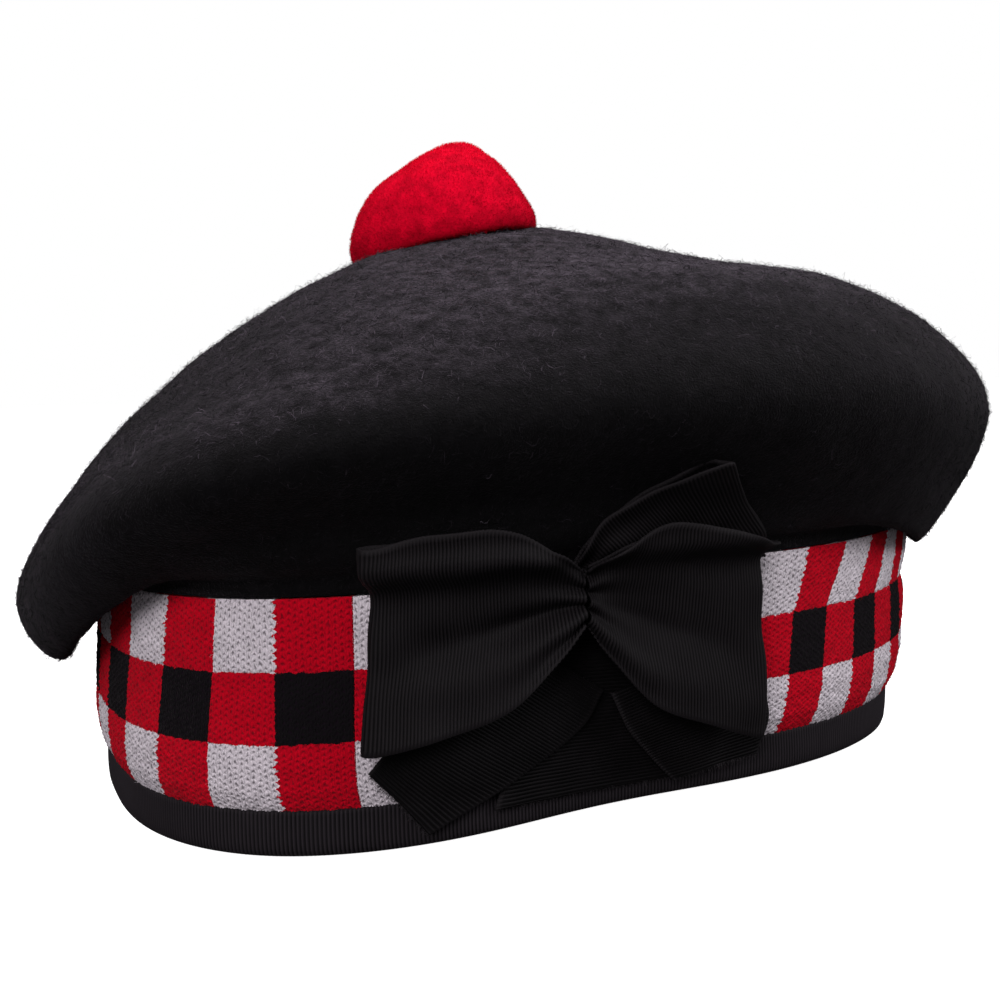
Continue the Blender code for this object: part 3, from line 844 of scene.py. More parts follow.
def add_wool(tree, mottle_size, fibre_size, streak):
    node = tree.nodes.new("ShaderNodeGroup")
    node.node_tree = bpy.data.node_groups.get("matted_wool") or wool_group()
    place = tree.nodes.new("ShaderNodeTexCoord")
    tree.links.new(place.outputs["Object"], node.inputs["Vector"])
    node.inputs["Mottle Size"].default_value = mottle_size
    node.inputs["Fibre Size"].default_value = fibre_size
    node.inputs["Streak"].default_value = streak
    return node


def bump(tree, shader, height, depth):
    node = tree.nodes.new("ShaderNodeBump")
    node.inputs["Distance"].default_value = depth
    tree.links.new(height, node.inputs["Height"])
    tree.links.new(node.outputs[0], shader.inputs["Normal"])


def sheen(shader, weight, roughness, tint):
    shader.inputs["Sheen Weight"].default_value = weight
    shader.inputs["Sheen Roughness"].default_value = roughness
    shader.inputs["Sheen Tint"].default_value = (*tint, 1.0)


def shade_node(tree):
    """Reads the point attribute that set_shade writes."""
    node = tree.nodes.new("ShaderNodeAttribute")
    node.attribute_name = "shade"
    return node.outputs["Fac"]


def toned(colour, share):
    return tuple(part * share for part in colour)


def felt_material(name, colour, nap_colour):
    """Dark matted wool with pale fibres in patches, and painted top light: much paler where it faces up."""
    material, tree, shader = new_material(name, 0.95, 0.08)
    wool = add_wool(tree, 0.0035, 0.00045, 2.0)
    patchy = ranged(tree, wool.outputs["Mottle"], 0.30, 0.72)
    ground = mixed(tree, patchy, toned(colour, 0.60), toned(colour, 1.45))
    pale = ranged(tree, wool.outputs["Fibres"], 0.62, 0.86, 0.0, 0.04)
    # Painted top light: the felt turns towards the nap colour where its normal points up, in place of light
    # from above
    surface = tree.nodes.new("ShaderNodeNewGeometry")
    facing = tree.nodes.new("ShaderNodeSeparateXYZ")
    tree.links.new(surface.outputs["Normal"], facing.inputs[0])
    painted_top_light = maths(tree, "POWER", maths(tree, "MAXIMUM", facing.outputs[2], 0.0), 10.0)
    grain = ranged(tree, wool.outputs["Fibres"], 0.52, 0.78, 0.10, 1.0)
    patches = ranged(tree, wool.outputs["Mottle"], 0.34, 0.66, 0.15, 1.85)
    grain = maths(tree, "MULTIPLY", grain, patches)
    pale_fibres_and_top_light = maths(tree, "MAXIMUM", pale, maths(tree, "MULTIPLY", painted_top_light, grain))
    tree.links.new(mixed(tree, pale_fibres_and_top_light, ground, nap_colour), shader.inputs["Base Color"])
    sheen(shader, 0.050, 0.24, (0.92, 0.81, 0.93))
    bump(tree, shader, wool.outputs["Height"], 0.00060)
    return material


def fibre_material(name, dark, pale, sheen_weight, shine):
    """Loose fibres, each between two colours by its shade."""
    material, tree, shader = new_material(name, 0.8, shine)
    tree.links.new(mixed(tree, shade_node(tree), dark, pale), shader.inputs["Base Color"])
    sheen(shader, sheen_weight, 0.5, pale)
    return material


def dice_material(name, red, white, black):
    """Colour by die from the UV map, which counts stitches across and up, with painted shade in the gaps of
    the knit.
    """
    material, tree, shader = new_material(name, 0.9, 0.04)
    stitch = tree.nodes.new("ShaderNodeSeparateXYZ")
    tree.links.new(tree.nodes.new("ShaderNodeUVMap").outputs[0], stitch.inputs[0])
    across, up = stitch.outputs[0], stitch.outputs[1]
    wool = add_wool(tree, 0.004, 0.00022, 3.0)
    ragged = wool.outputs["Fibres"]
    loose = tree.nodes.new("ShaderNodeTexNoise")
    loose.inputs["Scale"].default_value = 700.0
    loose.inputs["Detail"].default_value = 1.0
    tree.links.new(tree.nodes["Texture Coordinate"].outputs["Object"], loose.inputs["Vector"])
    drift = tree.nodes.new("ShaderNodeSeparateColor")
    tree.links.new(loose.outputs["Color"], drift.inputs[0])

    def step(operation, *values):
        return maths(tree, operation, *values)

    def shifted(value, noise_value, noise_middle, reach):
        return step("MULTIPLY_ADD", step("SUBTRACT", noise_value, noise_middle), reach, value)

    # Which die: its edges wander with the yarn, and the stitches make teeth of a white one's right edge
    row = step("FLOOR", step("DIVIDE", shifted(
        shifted(up, drift.outputs[1], 0.5, 0.7), ragged, 0.6, 0.8), STITCHES_UP))
    middle = step("COMPARE", row, 1.0, 0.1)
    right_edge = step("MODULO", step("ROUND", step("DIVIDE", across, STITCHES_ACROSS)), 2.0)
    beat = shifted(step("MULTIPLY", up, 0.80), drift.outputs[2], 0.5, 1.2)
    wave = step("ABSOLUTE", step("SINE", step("MULTIPLY", beat, math.pi)))
    tooth = step("MULTIPLY_ADD", wave, -0.75, 0.30)
    tooth = step("MULTIPLY", tooth, step("MULTIPLY_ADD", middle, -0.7, 1.0))
    edge = step("MULTIPLY_ADD", tooth, right_edge, shifted(across, ragged, 0.6, 0.8))
    column = step("FLOOR", step("DIVIDE", edge, STITCHES_ACROSS))
    odd = step("MODULO", step("ADD", column, 1000.0), 2.0)
    yarn = mixed(tree, middle, mixed(tree, odd, white, red), mixed(tree, odd, red, black))

    # The gaps beside the two legs of a stitch, and across them where the next stitch comes through,
    # darkened with painted shade
    u = shifted(across, drift.outputs[0], 0.5, 0.8)
    side = step("MULTIPLY", step("ABSOLUTE", step("SUBTRACT", step("FRACT", u), 0.5)), 2.0)
    leg = step("MULTIPLY_ADD", step("SINE", step("MULTIPLY", side, math.pi)), 0.55, 0.45)
    stagger = step("MODULO", step("FLOOR", u), 2.0)
    v = step("MULTIPLY_ADD", stagger, 0.5, shifted(up, drift.outputs[2], 0.5, 1.1))
    slip = step("MULTIPLY", step("MULTIPLY_ADD", side, 0.5, v), math.pi)
    strand = step("MAXIMUM", step("ABSOLUTE", step("SINE", slip)), step("MULTIPLY", side, 0.8))
    frayed = shifted(step("MULTIPLY", leg, strand), ragged, 0.6, 1.0)
    open_part = step("SUBTRACT", 1.0, ranged(tree, frayed, 0.08, 0.55))
    pale = step("MULTIPLY", step("SUBTRACT", 1.0, odd), step("SUBTRACT", 1.0, middle))
    # Painted shade: the gaps between the stitches are darkened in the yarn's colour, deeper in the white
    # dice
    gap = step("MULTIPLY", open_part, step("MULTIPLY_ADD", pale, 0.16, 0.58))
    yarn_with_painted_gap_shade = mixed(tree, gap, yarn, (0.010, 0.004, 0.010))
    dull = ranged(tree, wool.outputs["Mottle"], 0.30, 0.70, 0.16, 0.0)
    tree.links.new(mixed(tree, dull, yarn_with_painted_gap_shade, (0.0, 0.0, 0.0)), shader.inputs["Base Color"])
    sheen(shader, 0.02, 0.5, (1.0, 0.85, 0.9))
    bump(tree, shader, frayed, 0.00022)
    return material


def ribbon_material(name, colour):
    """Ribbed ribbon: painted shade in its grooves and painted light on its ribs, and a little worn on its
    ribs.
    """
    material, tree, shader = new_material(name, 0.5, 0.05)
    wool = add_wool(tree, 0.008, 0.00012, 2.0)
    # Painted shade and light: near black in the grooves, lighter on the ribs, by the rib height in the
    # shade attribute
    ridge = toned(colour, 1.9)
    painted_rib_shade = mixed(tree, shade_node(tree), toned(colour, 0.06), ridge)
    painted_nap_top_light = mixed(tree, ranged(tree, wool.outputs["Mottle"], 0.35, 0.75, 0.0, 0.2), painted_rib_shade, ridge)
    tree.links.new(painted_nap_top_light, shader.inputs["Base Color"])
    tree.links.new(ranged(tree, wool.outputs["Fibres"], 0.4, 0.9, 0.55, 0.80), shader.inputs["Roughness"])
    sheen(shader, 0.006, 0.35, (0.85, 0.80, 0.88))
    bump(tree, shader, wool.outputs["Fibres"], 0.00003)
    return material


def toorie_material(name, colour, painted_shade_colour):
    material, tree, shader = new_material(name, 0.95, 0.03)
    wool = add_wool(tree, 0.004, 0.00035, 2.0)
    # Painted shade between the tufts, in random patches of the dark colour
    shade_between_tufts = ranged(tree, wool.outputs["Mottle"], 0.35, 0.65, 0.3, 0.9)
    tree.links.new(mixed(tree, shade_between_tufts, painted_shade_colour, colour), shader.inputs["Base Color"])
    sheen(shader, 0.05, 0.5, (1.0, 0.01, 0.05))
    bump(tree, shader, wool.outputs["Height"], 0.0003)
    return material


def floor_material(name, colour):
    """A pale floor that looks evenly lit to the camera and stays dim to everything else."""
    material, tree, shader = new_material(name, 0.9, 0.1)
    shader.inputs["Emission Color"].default_value = (1.0, 1.0, 1.0, 1.0)
    seen = tree.nodes.new("ShaderNodeLightPath").outputs["Is Camera Ray"]
    dim = toned(colour, FLOOR_BOUNCE)
    tree.links.new(mixed(tree, seen, dim, colour), shader.inputs["Base Color"])
    tree.links.new(maths(tree, "MULTIPLY", seen, FLOOR_GLOW), shader.inputs["Emission Strength"])
    return material


def shared_material(name, maker, *values):
    """The material of that name, made from its values by the piece that needs it first."""
    return bpy.data.materials.get(name) or maker(name, *values)


# Pieces


class BONNET_OT_crown(bpy.types.Operator):
    """Felt crown: a closed felt wall from the band's top over the roll to the middle."""

    bl_idname = "bonnet.crown"
    bl_label = "Felt crown"

    columns = 600
    outer_rows = 112
    inner_rows = 26

    def execute(self, context):
        felt = context.scene.bonnet.felt
        angles = np.linspace(0.0, 360.0, self.columns + 1)
        shares = np.linspace(0.0, 1.0, self.outer_rows)
        curves = crown_path(angles)
        path = along_path(curves, shares)
        outer = turned(angles, path)
        normal = grid_normals(outer, closed=True)
        normal[:, -1] = (0.0, 0.0, 1.0)
        outer = outer + normal * (self.lumps(outer, shares) * felt.unevenness)[..., None]
        inner = turned(angles, self.inner_path(curves, path[:, 0]))
        piece, _, _ = grid_piece("felt_crown", np.concatenate([inner[:, ::-1], outer], axis=1))
        merge_points(piece)
        material = shared_material("crown_felt", felt_material, felt.colour, felt.nap_colour)
        finish_piece(piece, material, ["crown"])
        material = shared_material("felt_nap", fibre_material, felt.colour, felt.nap_colour, 0.10, 0.10)
        half = felt.nap_count // 2
        for name, seed, count, length, steep, pale, levels in (
            ("crown_nap_under", 5, half, felt.nap_length, 0.30, 0.60, 2),
            ("crown_nap_over", 6, half, felt.nap_length * 0.7, 0.34, 0.60, 2),
            ("crown_stray_fibres", 7, felt.stray_count, felt.stray_length, 0.20, 2.2, 3),
        ):
            random = np.random.default_rng(seed)
            fibres = self.nap(random, count, length, felt.nap_width, steep, pale, outer, normal)
            finish_piece(fibre_piece(name, *fibres, levels), material)
        return {"FINISHED"}

    def lumps(self, outer, shares):
        """Slow, quick and small waves in the felt, easing out towards the band and the middle."""
        waves = ((0.75, 0.045, 3.0), (0.36, 0.013, 11.0), (0.13, 0.0055, 19.0))
        ease = np.clip(np.minimum(shares / 0.12, (1.0 - shares) / 0.05), 0.0, 1.0)
        return sum(part * soft_noise(outer, size, seed) for part, size, seed in waves) * ease

    def inner_path(self, curves, start):
        """Inner face of the felt at each angle, a wall inside the outer one."""
        path = along_path(curves, np.linspace(0.0, 1.0, self.inner_rows))
        slope = np.gradient(path, axis=1)
        path = path + unit(np.stack([-slope[..., 1], slope[..., 0]], axis=-1)) * CROWN_WALL
        path[:, 0] = start - np.array((CROWN_WALL, 0.0))
        path[:, -1] = (0.0, CROWN_HEIGHT - CROWN_WALL)
        path[..., 0] = np.maximum(path[..., 0], 0.0)
        return path

    def nap(self, random, count, length, width, steep, pale, outer, normal):
        """Fibres all over the felt, combed downwards a little, with painted top light: paler where the felt
        faces up.
        """
        roots, up, _, _ = scattered(random, count, outer, normal)
        down = np.array((0.0, 0.0, -0.5)) + random.normal(size=(count, 3))
        lie = unit(down - up * (down * up).sum(axis=1, keepdims=True))
        rise = random.uniform(0.03, steep, count)[:, None]
        way = unit(lie * (1 - rise) + up * rise)
        length = length * random.uniform(0.45, 1.35, count)
        width = width * random.uniform(0.6, 1.3, count)
        clump = 1.0 + 1.2 * soft_noise(roots, 0.0024, 17.0) + 1.3 * soft_noise(roots, 0.0065, 23.0)
        # Painted top light: fibres much darker where the felt faces sideways or down, in place of light
        # from above
        painted_nap_top_light = 0.08 + 0.92 * np.clip(up[:, 2] / 0.95, 0.0, 1.0) ** 3.6
        shade = pale * painted_nap_top_light * np.maximum(clump, 0.08) * random.uniform(0.0, 1.5, count) ** 2
        bend = bowed(random, way, length, 0.30)
        return roots, way, length, bend, width, np.clip(shade, 0.0, 1.0)


class BONNET_OT_band(bpy.types.Operator):
    """Diced band: three rows of dice with real stitches, and the knit's inner face."""

    bl_idname = "bonnet.band"
    bl_label = "Diced band"

    across = 4
    up = 4
    inner_rows = 14
    inner_foot = 0.06

    def execute(self, context):
        band = context.scene.bonnet.band
        material = shared_material("dice_knit", dice_material, band.red, band.white, band.black)
        for name, first, last in (
            ("dice_lower_row", -1, STITCHES_UP),
            ("dice_middle_row", STITCHES_UP, 2 * STITCHES_UP),
            ("dice_top_row", 2 * STITCHES_UP, 3 * STITCHES_UP),
        ):
            piece, grid = self.dice_row(name, band, first, last)
            fuzz = self.fuzz(name.replace("row", "fuzz"), band, grid, first)
            finish_piece(fuzz, material)
            nodes = ["diced_band"] if name == "dice_middle_row" else []
            finish_piece(piece, material, nodes)
        self.inner_face(material)
        return {"FINISHED"}

    def dice_row(self, name, band, first, last):
        """One row of dice as a sheet whose stitches stand proud, with the UV map counting them."""
        columns = DICE_COUNT * STITCHES_ACROSS
        u, v = np.meshgrid(
            np.linspace(0.0, columns, columns * self.across + 1),
            np.linspace(first, last, (last - first) * self.up + 1),
            indexing="ij",
        )
        die = u / STITCHES_ACROSS
        stitch_height = (DICE_HEIGHTS[1] - DICE_HEIGHTS[0]) / STITCHES_UP
        marks = (-1.0, *(k * STITCHES_UP for k in range(4)))
        heights = np.interp(v, marks, (DICE_HEIGHTS[0] - stitch_height, *DICE_HEIGHTS))
        angles = angle_at(dice_arcs(die) + dice_slip(die, heights))
        plain = band_face(angles, heights)
        place = about_axis(plain, angles, heights)
        jitter = soft_noise(place, 0.0013, 5.0)
        waver = soft_noise(place, 0.0060, 8.0) * 0.00012
        side = np.abs(np.mod(u, 1.0) - 0.5) * 2.0
        leg = 0.35 + 0.65 * np.sin(np.pi * side)
        stagger = 0.5 * np.mod(np.floor(u), 2.0)
        strand = np.abs(np.sin(np.pi * (v + stagger + 0.5 * side + 0.45 * jitter)))
        relief = leg * np.maximum(strand, 0.8 * side) * (1.0 + jitter) * band.stitch_depth
        white = (np.mod(np.floor(die), 2.0) == 0.0) & (np.floor(v / STITCHES_UP) != 1.0)
        in_die = np.abs(np.sin(np.pi * die)) ** 0.30
        in_row = np.abs(np.sin(np.pi * v / STITCHES_UP)) ** 0.25
        puff = band.puff * np.where(white, 1.0, 0.35) * (in_die * in_row - 0.5) * np.clip(v, 0.0, 1.0)
        grid = about_axis(plain + relief + puff + waver, angles, heights)
        piece, i, j = grid_piece(name, grid)
        set_uv(piece, i, j, u, v)
        merge_points(piece)
        return piece, grid

    def fuzz(self, name, band, grid, first):
        """Loose ends of yarn over a row of dice, each with the colour of the place it grows from."""
        random = np.random.default_rng(40 + first)
        count = band.fuzz_count // 3
        roots, out, i, j = scattered(random, count, grid, -grid_normals(grid, closed=True))
        way = random.normal(size=(count, 3))
        way = unit(way - out * (way * out).sum(axis=1, keepdims=True))
        rise = random.uniform(0.1, 0.5, count)[:, None]
        way = way * (1.0 - rise) + out * rise
        length = band.fuzz_length * random.uniform(0.4, 1.4, count)
        bend = bowed(random, way, length, 0.3)
        width = np.full(count, band.fuzz_length * 0.05)
        piece = fibre_piece(name, roots, way, length, bend, width, np.ones(count))
        stitches = np.stack([i / self.across, first + j / self.up], axis=-1)
        corners = np.repeat(stitches, len(piece.data.loops) // count, axis=0)
        piece.data.uv_layers.new(name="UVMap").data.foreach_set("uv", corners.ravel().astype(np.float32))
        return piece

    def inner_face(self, material):
        """The knit's wrong side with the turn over its top edge."""
        columns = DICE_COUNT * STITCHES_ACROSS
        u = np.linspace(0.0, columns, columns + 1)
        angles = angle_at(dice_arcs(u / STITCHES_ACROSS))
        rim = rim_radius(angles)
        rows = [(rim + band_lean(angles), np.full_like(rim, BAND_HEIGHT))]
        for share in np.linspace(1.0, self.inner_foot, self.inner_rows):
            heights = np.full_like(rim, BAND_HEIGHT * share)
            rows.append((band_face(angles, heights) - BAND_WALL, heights))
        flat = np.stack([np.stack(row, axis=-1) for row in rows], axis=1)
        top = 3.0 * STITCHES_UP
        v = np.concatenate([[top], np.linspace(top, 0.0, self.inner_rows)])
        piece, i, j = grid_piece("band_inner_face", turned(angles, flat)[:, ::-1])
        set_uv(piece, i, j, *np.meshgrid(u, v[::-1], indexing="ij"))
        merge_points(piece)
        finish_piece(piece, material)


def rib_wave(count):
    """Height of the ribs at samples along a ribbon, from 0 in a groove to 1 on a rib."""
    return 0.5 - 0.5 * np.cos(2 * np.pi * np.arange(count) / RIB_STEPS)


def ribbed(grid, settings):
    """Cross ribs along a ribbon grid (along, across): returns the finer grid and its groove shade."""
    run = run_along(grid[:, grid.shape[1] // 2])
    ribs = max(int(round(run[-1] / settings.rib_pitch)), 4)
    samples = np.linspace(0.0, run[-1], ribs * RIB_STEPS + 1)
    fine = np.stack([read_curve(samples, run, grid[:, j]) for j in range(grid.shape[1])], axis=1)
    fine = blurred(fine, 3, axis=0)
    across = np.linspace(-1.0, 1.0, grid.shape[1])
    inside = np.clip((1.0 - np.abs(across)) / SELVEDGE, 0.0, 1.0)
    height = rib_wave(len(samples))[:, None] * inside + (1.0 - inside) * 0.8
    crumple = soft_noise(fine, 0.0085, 13.0) * settings.crumple
    return fine + grid_normals(fine) * (height * settings.rib_depth + crumple)[..., None], height


class BONNET_OT_binding(bpy.types.Operator):
    """Ribbon folded over the rim, with ribs a little wider than the bow's."""

    bl_idname = "bonnet.binding"
    bl_label = "Rim binding"

    wider = 1.1
    deeper = 1.2

    def execute(self, context):
        ribbon = context.scene.bonnet.ribbon
        columns = int(round(RIM_LENGTH / (ribbon.rib_pitch * self.wider))) * RIB_STEPS
        angles = angle_at(np.linspace(0.0, RIM_LENGTH, columns + 1))
        rim = rim_radius(angles)
        ridge = rib_wave(columns + 1)
        waver = soft_noise(about_axis(rim, angles, 0.0), 0.020, 21.0) * 0.00022
        depth = ribbon.rib_depth * self.deeper
        inner = 2 * BINDING_WALL + BAND_WALL + 2 * CLEARANCE
        flat = np.empty((columns + 1, len(BINDING_ROWS), 2))
        height = np.empty((columns + 1, len(BINDING_ROWS)))
        for k, row in enumerate(BINDING_ROWS):
            away = 1 - 2 * row.leg
            out = row.out - inner * row.leg
            flat[:, k, 0] = rim + out + away * depth * (ridge * row.rib - 1.0) - tucked(angles, row.up)
            flat[:, k, 1] = np.maximum(row.up + waver * (row.up / BINDING_HEIGHT) ** 2, 0.0)
            height[:, k] = ridge * row.rib + (1.0 - row.rib) * 0.6
        piece, i, j = grid_piece("rim_ribbon", turned(angles, flat)[:, ::-1])
        set_shade(piece, height[:, ::-1][i, j])
        merge_points(piece)
        material = shared_material("rim_grosgrain", ribbon_material, ribbon.rim_colour)
        finish_piece(piece, material, ["edge_binding"])
        return {"FINISHED"}


def ribbon_piece(name, node, grid, settings):
    """A ribbed ribbon with its thickness from a grid (along, across)."""
    fine, height = ribbed(grid, settings)
    piece, i, j = grid_piece(name, fine)
    set_shade(piece, height[i, j])
    thicken(piece, settings.wall)
    material = shared_material("bow_grosgrain", ribbon_material, settings.colour)
    finish_piece(piece, material, [node])


class BONNET_OT_bow_loops(bpy.types.Operator):
    """The bow's three loops of ribbed ribbon."""

    bl_idname = "bonnet.bow_loops"
    bl_label = "Bow loops"

    along = 360
    across = 30
    gap = 0.0006
    curl = 0.1
    pleat_depth = 0.0013
    pleat_waves = 11.0
    pinch_reach = 0.34

    def execute(self, context):
        ribbon = context.scene.bonnet.ribbon
        for loop in LOOPS:
            # Its outer face is kept outside on either side of the pinch
            grid = self.loop_grid(loop, ribbon)[:, :: loop.way]
            ribbon_piece(loop.piece, loop.node, grid, ribbon)
        return {"FINISHED"}

    def loop_grid(self, loop, ribbon):
        """Places of a loop, from the pinch out along its front layer and back along its rear one."""
        curve = table_curve(LOOP_ROWS, 24, self.along + 1)
        reach, tuck, lift, spread, valley = curve.T[..., None]
        across = np.linspace(-1.0, 1.0, self.across + 1)
        tilt = math.radians(loop.tilt)
        half = loop.half * RIBBON_WIDTH
        out = reach * (loop.reach * BOW_REACH - across * half * loop.slant)
        out = out - tuck * loop.depth + self.gap / 2
        arcs = loop.way * (out - across * half * spread * math.sin(tilt))
        heights = BOW_HEIGHT + reach * loop.rise * BOW_REACH + across * half * spread * math.cos(tilt)
        curl = lift * loop.depth * (1.0 - self.curl * across**2)
        deepest = min(ribbon.valley, loop.depth - LOOP_ROOM)
        middle = -0.05 - 0.12 * reach
        press = valley * deepest / (1.0 + ((across - middle) / (0.14 + 0.14 * reach)) ** 2)
        near = np.exp(-reach / self.pinch_reach) * np.clip(lift * 2.0 - 0.8, 0.0, 1.0)
        pleats = near * self.pleat_depth * np.cos(across * self.pleat_waves + loop.way)
        return on_hat(arcs, heights, loop.rear + np.maximum(curl - press + pleats, 0.0))


class BONNET_OT_bow_tails(bpy.types.Operator):
    """The bow's three tails of ribbed ribbon, with frayed ends."""

    bl_idname = "bonnet.bow_tails"
    bl_label = "Bow tails"

    along = 160
    across = 36
    clear = 0.0004

    def execute(self, context):
        ribbon = context.scene.bonnet.ribbon
        for name, rows in TAILS.items():
            front, front_up, back, back_up, lift = table_curve(rows, 40, self.along + 1).T[..., None]
            part = np.linspace(0.0, 1.0, self.across + 1)
            arcs = (front + (back - front) * part) * BOW_REACH
            heights = (front_up + (back_up - front_up) * part) * BAND_HEIGHT
            grid = on_hat(arcs, heights, lift + self.clear)
            self.add_threads(name + "_threads", grid, ribbon)
            ribbon_piece(name + "_ribbon", name, grid[:, ::-1], ribbon)
        return {"FINISHED"}

    def add_threads(self, name, grid, ribbon):
        """Warp threads that fray out of a tail's cut end."""
        random = np.random.default_rng(len(name))
        count = ribbon.thread_count
        place = np.sort(random.random(count)) * self.across
        low = np.minimum(place.astype(int), self.across - 1)
        share = (place - low)[:, None]
        roots = grid[-1, low] * (1.0 - share) + grid[-1, low + 1] * share
        away = unit(grid[-1, low] - grid[-9, low])
        length = ribbon.thread_length * random.uniform(0.2, 1.0, count)
        way = away + random.normal(size=(count, 3)) * 0.22
        bend = random.normal(size=(count, 3)) * (length * 0.12)[:, None]
        width = np.full(count, ribbon.rib_depth * 0.45)
        start = roots - away * ribbon.thread_length * 0.3
        piece = fibre_piece(name, start, way, length, bend, width, random.random(count))
        bright = toned(ribbon.colour, 4.0)
        material = shared_material("ribbon_threads", fibre_material, ribbon.colour, bright, 0.02, 0.1)
        finish_piece(piece, material)


def seat_on_crown(x, y):
    """Height of the crown's outer face over a point inside its edge."""
    angle = np.array([math.degrees(math.atan2(y, x))])
    path = crown_path(angle)[0]
    widest = int(np.argmax(path[:, 0]))
    upper = path[widest:][::-1]
    return float(np.interp(math.hypot(x, y), upper[:, 0], upper[:, 1]))


class BONNET_OT_toorie(bpy.types.Operator):
    """Wool toorie: a tufted dome under a dense clipped pile."""

    bl_idname = "bonnet.toorie"
    bl_label = "Toorie"

    around = 192
    rows = 96
    pile_share = 0.55
    lean_power = 3.5

    def execute(self, context):
        toorie = context.scene.bonnet.toorie
        x, y = toorie.sideways, -toorie.forward
        step = toorie.width / 8
        slope_x = (seat_on_crown(x + step, y) - seat_on_crown(x - step, y)) / (2 * step)
        slope_y = (seat_on_crown(x, y + step) - seat_on_crown(x, y - step)) / (2 * step)
        up = unit(np.array((-slope_x, -slope_y, 1.0)))
        back = unit(np.cross(up, (1.0, 0.0, 0.0)))
        side = np.cross(back, up)
        seat = np.array((x, y, seat_on_crown(x, y)))

        under_pile = toorie.pile_length * self.pile_share
        outline = table_curve(DOME_ROWS, 16, self.rows + 1, past_end=np.array((-1.0, 1.0)))
        angles = np.linspace(0.0, 360.0, self.around + 1)[:, None]
        place = about_axis(
            outline[:, 0] * (toorie.width / 2 - under_pile), angles,
            outline[:, 1] * (toorie.height - under_pile),
        )
        place[..., 1] += toorie.lean * np.maximum(outline[:, 1], 0.0) ** self.lean_power
        place = seat + place @ np.array((side, back, up))
        normal = grid_normals(place, closed=True)
        normal[:, 0] = -up
        normal[:, -1] = up
        tufts = soft_noise(place, 0.0065, 4.0) * 0.0003 + soft_noise(place, 0.0022, 9.0) * 0.0001
        ease = np.clip(np.arange(self.rows + 1) / 20.0 - 0.4, 0.0, 1.0)
        place = place + normal * (tufts * ease)[..., None]
        piece, _, _ = grid_piece("toorie_core", place)
        merge_points(piece)
        material = shared_material("toorie_wool", toorie_material, toorie.colour, toorie.painted_shade_colour)
        finish_piece(piece, material, ["toorie"])
        self.add_pile(toorie, place, normal, seat, up)
        return {"FINISHED"}

    def add_pile(self, toorie, place, normal, seat, up):
        """Wool ends that stand out of the dome, with painted light: brighter towards its top, in painted
        shade low down.
        """
        random = np.random.default_rng(12)
        count = toorie.pile_count
        roots, out, _, _ = scattered(random, count, place, normal, skip=14)
        way = unit(out + random.normal(size=(count, 3)) * 0.42)
        clump = soft_noise(roots, 0.0050, 31.0)
        length = toorie.pile_length * (0.90 + 0.15 * clump) * random.uniform(0.75, 1.08, count)
        # Painted light: pile fibres brighter with height over the seat and darker near it, in place of
        # light from above
        painted_light_by_height = np.clip((roots - seat) @ up / toorie.height, 0.0, 1.0)
        shade = 0.16 + painted_light_by_height**0.9 + 0.12 * clump + random.normal(size=count) * 0.12
        shade = np.clip(shade, 0.0, 1.0)
        bend = bowed(random, way, length, 0.15)
        width = toorie.pile_width * random.uniform(0.7, 1.3, count)
        piece = fibre_piece("toorie_pile", roots - out * 0.0004, way, length, bend, width, shade)
        material = shared_material(
            "toorie_pile", fibre_material, toorie.painted_shade_colour, toorie.colour, 0.03, 0.03
        )
        finish_piece(piece, material)


def view_way(azimuth, elevation):
    """Direction from the hat to a light or the camera, by its angles in radians."""
    level = math.cos(elevation)
    return Vector((math.sin(azimuth) * level, -math.cos(azimuth) * level, math.sin(elevation)))


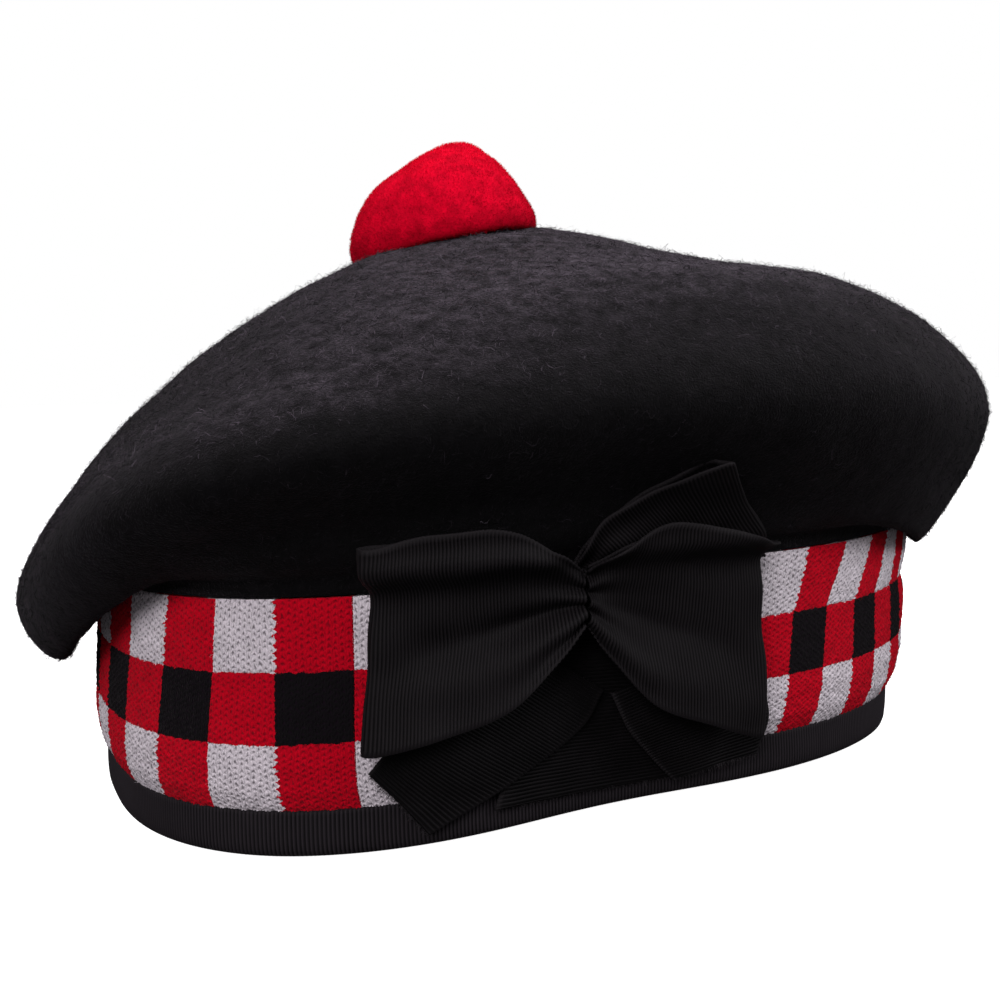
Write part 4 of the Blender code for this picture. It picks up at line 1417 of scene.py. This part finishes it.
class BONNET_OT_stage(bpy.types.Operator):
    """Pale floor, soft light and the camera."""

    bl_idname = "bonnet.stage"
    bl_label = "Stage"

    floor_radius = 6.0
    lamp_aim = 0.06
    world_strength = 0.20
    camera_shift = (-0.019, -0.023)

    def execute(self, context):
        stage = context.scene.bonnet.stage
        pick_none()
        bpy.ops.mesh.primitive_circle_add(
            vertices=96, radius=self.floor_radius, fill_type="NGON", location=(0, 0, -CLEARANCE)
        )
        floor = context.object
        floor.name = "floor"
        floor.data.materials.append(shared_material("pale_floor", floor_material, stage.floor_colour))
        self.add_world(context)
        for light in LIGHTS:
            self.add_light(context, light)
        self.add_camera(context, stage)
        context.scene.view_settings.view_transform = "Standard"
        return {"FINISHED"}

    def add_world(self, context):
        """A dim white sky that the camera sees at full white."""
        world = bpy.data.worlds.new("studio")
        context.scene.world = world
        world.use_nodes = True
        tree = world.node_tree
        seen = tree.nodes.new("ShaderNodeBackground")
        mix = tree.nodes.new("ShaderNodeMixShader")
        path = tree.nodes.new("ShaderNodeLightPath")
        tree.links.new(path.outputs["Is Camera Ray"], mix.inputs[0])
        for k, (sky, strength) in enumerate(((tree.nodes["Background"], self.world_strength), (seen, 1.0))):
            sky.inputs["Color"].default_value = (1.0, 1.0, 1.0, 1.0)
            sky.inputs["Strength"].default_value = strength
            tree.links.new(sky.outputs[0], mix.inputs[1 + k])
        tree.links.new(mix.outputs[0], tree.nodes["World Output"].inputs["Surface"])

    def add_light(self, context, light):
        way = view_way(math.radians(light.azimuth), math.radians(light.elevation))
        lamp = bpy.data.lights.new(light.name, "AREA")
        lamp.shape = "DISK"
        lamp.size = light.size
        lamp.energy = light.power
        lamp.color = light.colour
        holder = bpy.data.objects.new(light.name, lamp)
        context.scene.collection.objects.link(holder)
        holder.location = way * light.distance + Vector((0.0, 0.0, self.lamp_aim))
        holder.rotation_mode = "QUATERNION"
        holder.rotation_quaternion = way.to_track_quat("Z", "Y")

    def add_camera(self, context, stage):
        back = view_way(stage.azimuth, stage.elevation)
        right = Vector((math.cos(stage.azimuth), math.sin(stage.azimuth), 0.0))
        up = back.cross(right)
        across = right * math.cos(stage.roll) + up * math.sin(stage.roll)
        painted_top_light = up * math.cos(stage.roll) - right * math.sin(stage.roll)
        lens = bpy.data.cameras.new("camera")
        lens.sensor_width = 36.0
        lens.lens = stage.lens
        lens.clip_start = 0.01
        lens.shift_x, lens.shift_y = self.camera_shift
        camera = bpy.data.objects.new("camera", lens)
        context.scene.collection.objects.link(camera)
        aim = Vector((-BOX_SIDEWAYS, -BOX_BACK, stage.aim_height))
        axes = Matrix((across, painted_top_light, back)).transposed().to_4x4()
        camera.matrix_world = Matrix.Translation(aim + back * stage.distance) @ axes
        context.scene.camera = camera


class BONNET_PT_panel(bpy.types.Panel):
    """Lists the bonnet's settings and pieces."""

    bl_label = "Balmoral Bonnet"
    bl_idname = "BONNET_PT_panel"
    bl_space_type = "VIEW_3D"
    bl_region_type = "UI"
    bl_category = "Bonnet"

    def draw(self, context):
        settings = context.scene.bonnet
        for title, group, operators in (
            ("Crown", settings.felt, (BONNET_OT_crown,)),
            ("Band", settings.band, (BONNET_OT_band,)),
            ("Ribbon", settings.ribbon, (BONNET_OT_binding, BONNET_OT_bow_loops, BONNET_OT_bow_tails)),
            ("Toorie", settings.toorie, (BONNET_OT_toorie,)),
            ("Stage", settings.stage, (BONNET_OT_stage,)),
        ):
            box = self.layout.box()
            box.label(text=title)
            for name in group.bl_rna.properties.keys():
                if name not in ("rna_type", "name"):
                    box.prop(group, name)
            for operator in operators:
                box.operator(operator.bl_idname)


CLASSES = (
    FeltSettings,
    BandSettings,
    RibbonSettings,
    ToorieSettings,
    StageSettings,
    BonnetSettings,
    BONNET_OT_crown,
    BONNET_OT_band,
    BONNET_OT_binding,
    BONNET_OT_bow_loops,
    BONNET_OT_bow_tails,
    BONNET_OT_toorie,
    BONNET_OT_stage,
    BONNET_PT_panel,
)


def register():
    for item in CLASSES:
        bpy.utils.register_class(item)
    bpy.types.Scene.bonnet = bpy.props.PointerProperty(type=BonnetSettings)


def unregister():
    del bpy.types.Scene.bonnet
    for item in reversed(CLASSES):
        bpy.utils.unregister_class(item)


def main():
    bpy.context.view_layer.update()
    register()
    bpy.ops.bonnet.stage()
    bpy.ops.bonnet.crown()
    bpy.ops.bonnet.band()
    bpy.ops.bonnet.binding()
    bpy.ops.bonnet.bow_loops()
    bpy.ops.bonnet.bow_tails()
    bpy.ops.bonnet.toorie()


if __name__ == "__main__":
    main()
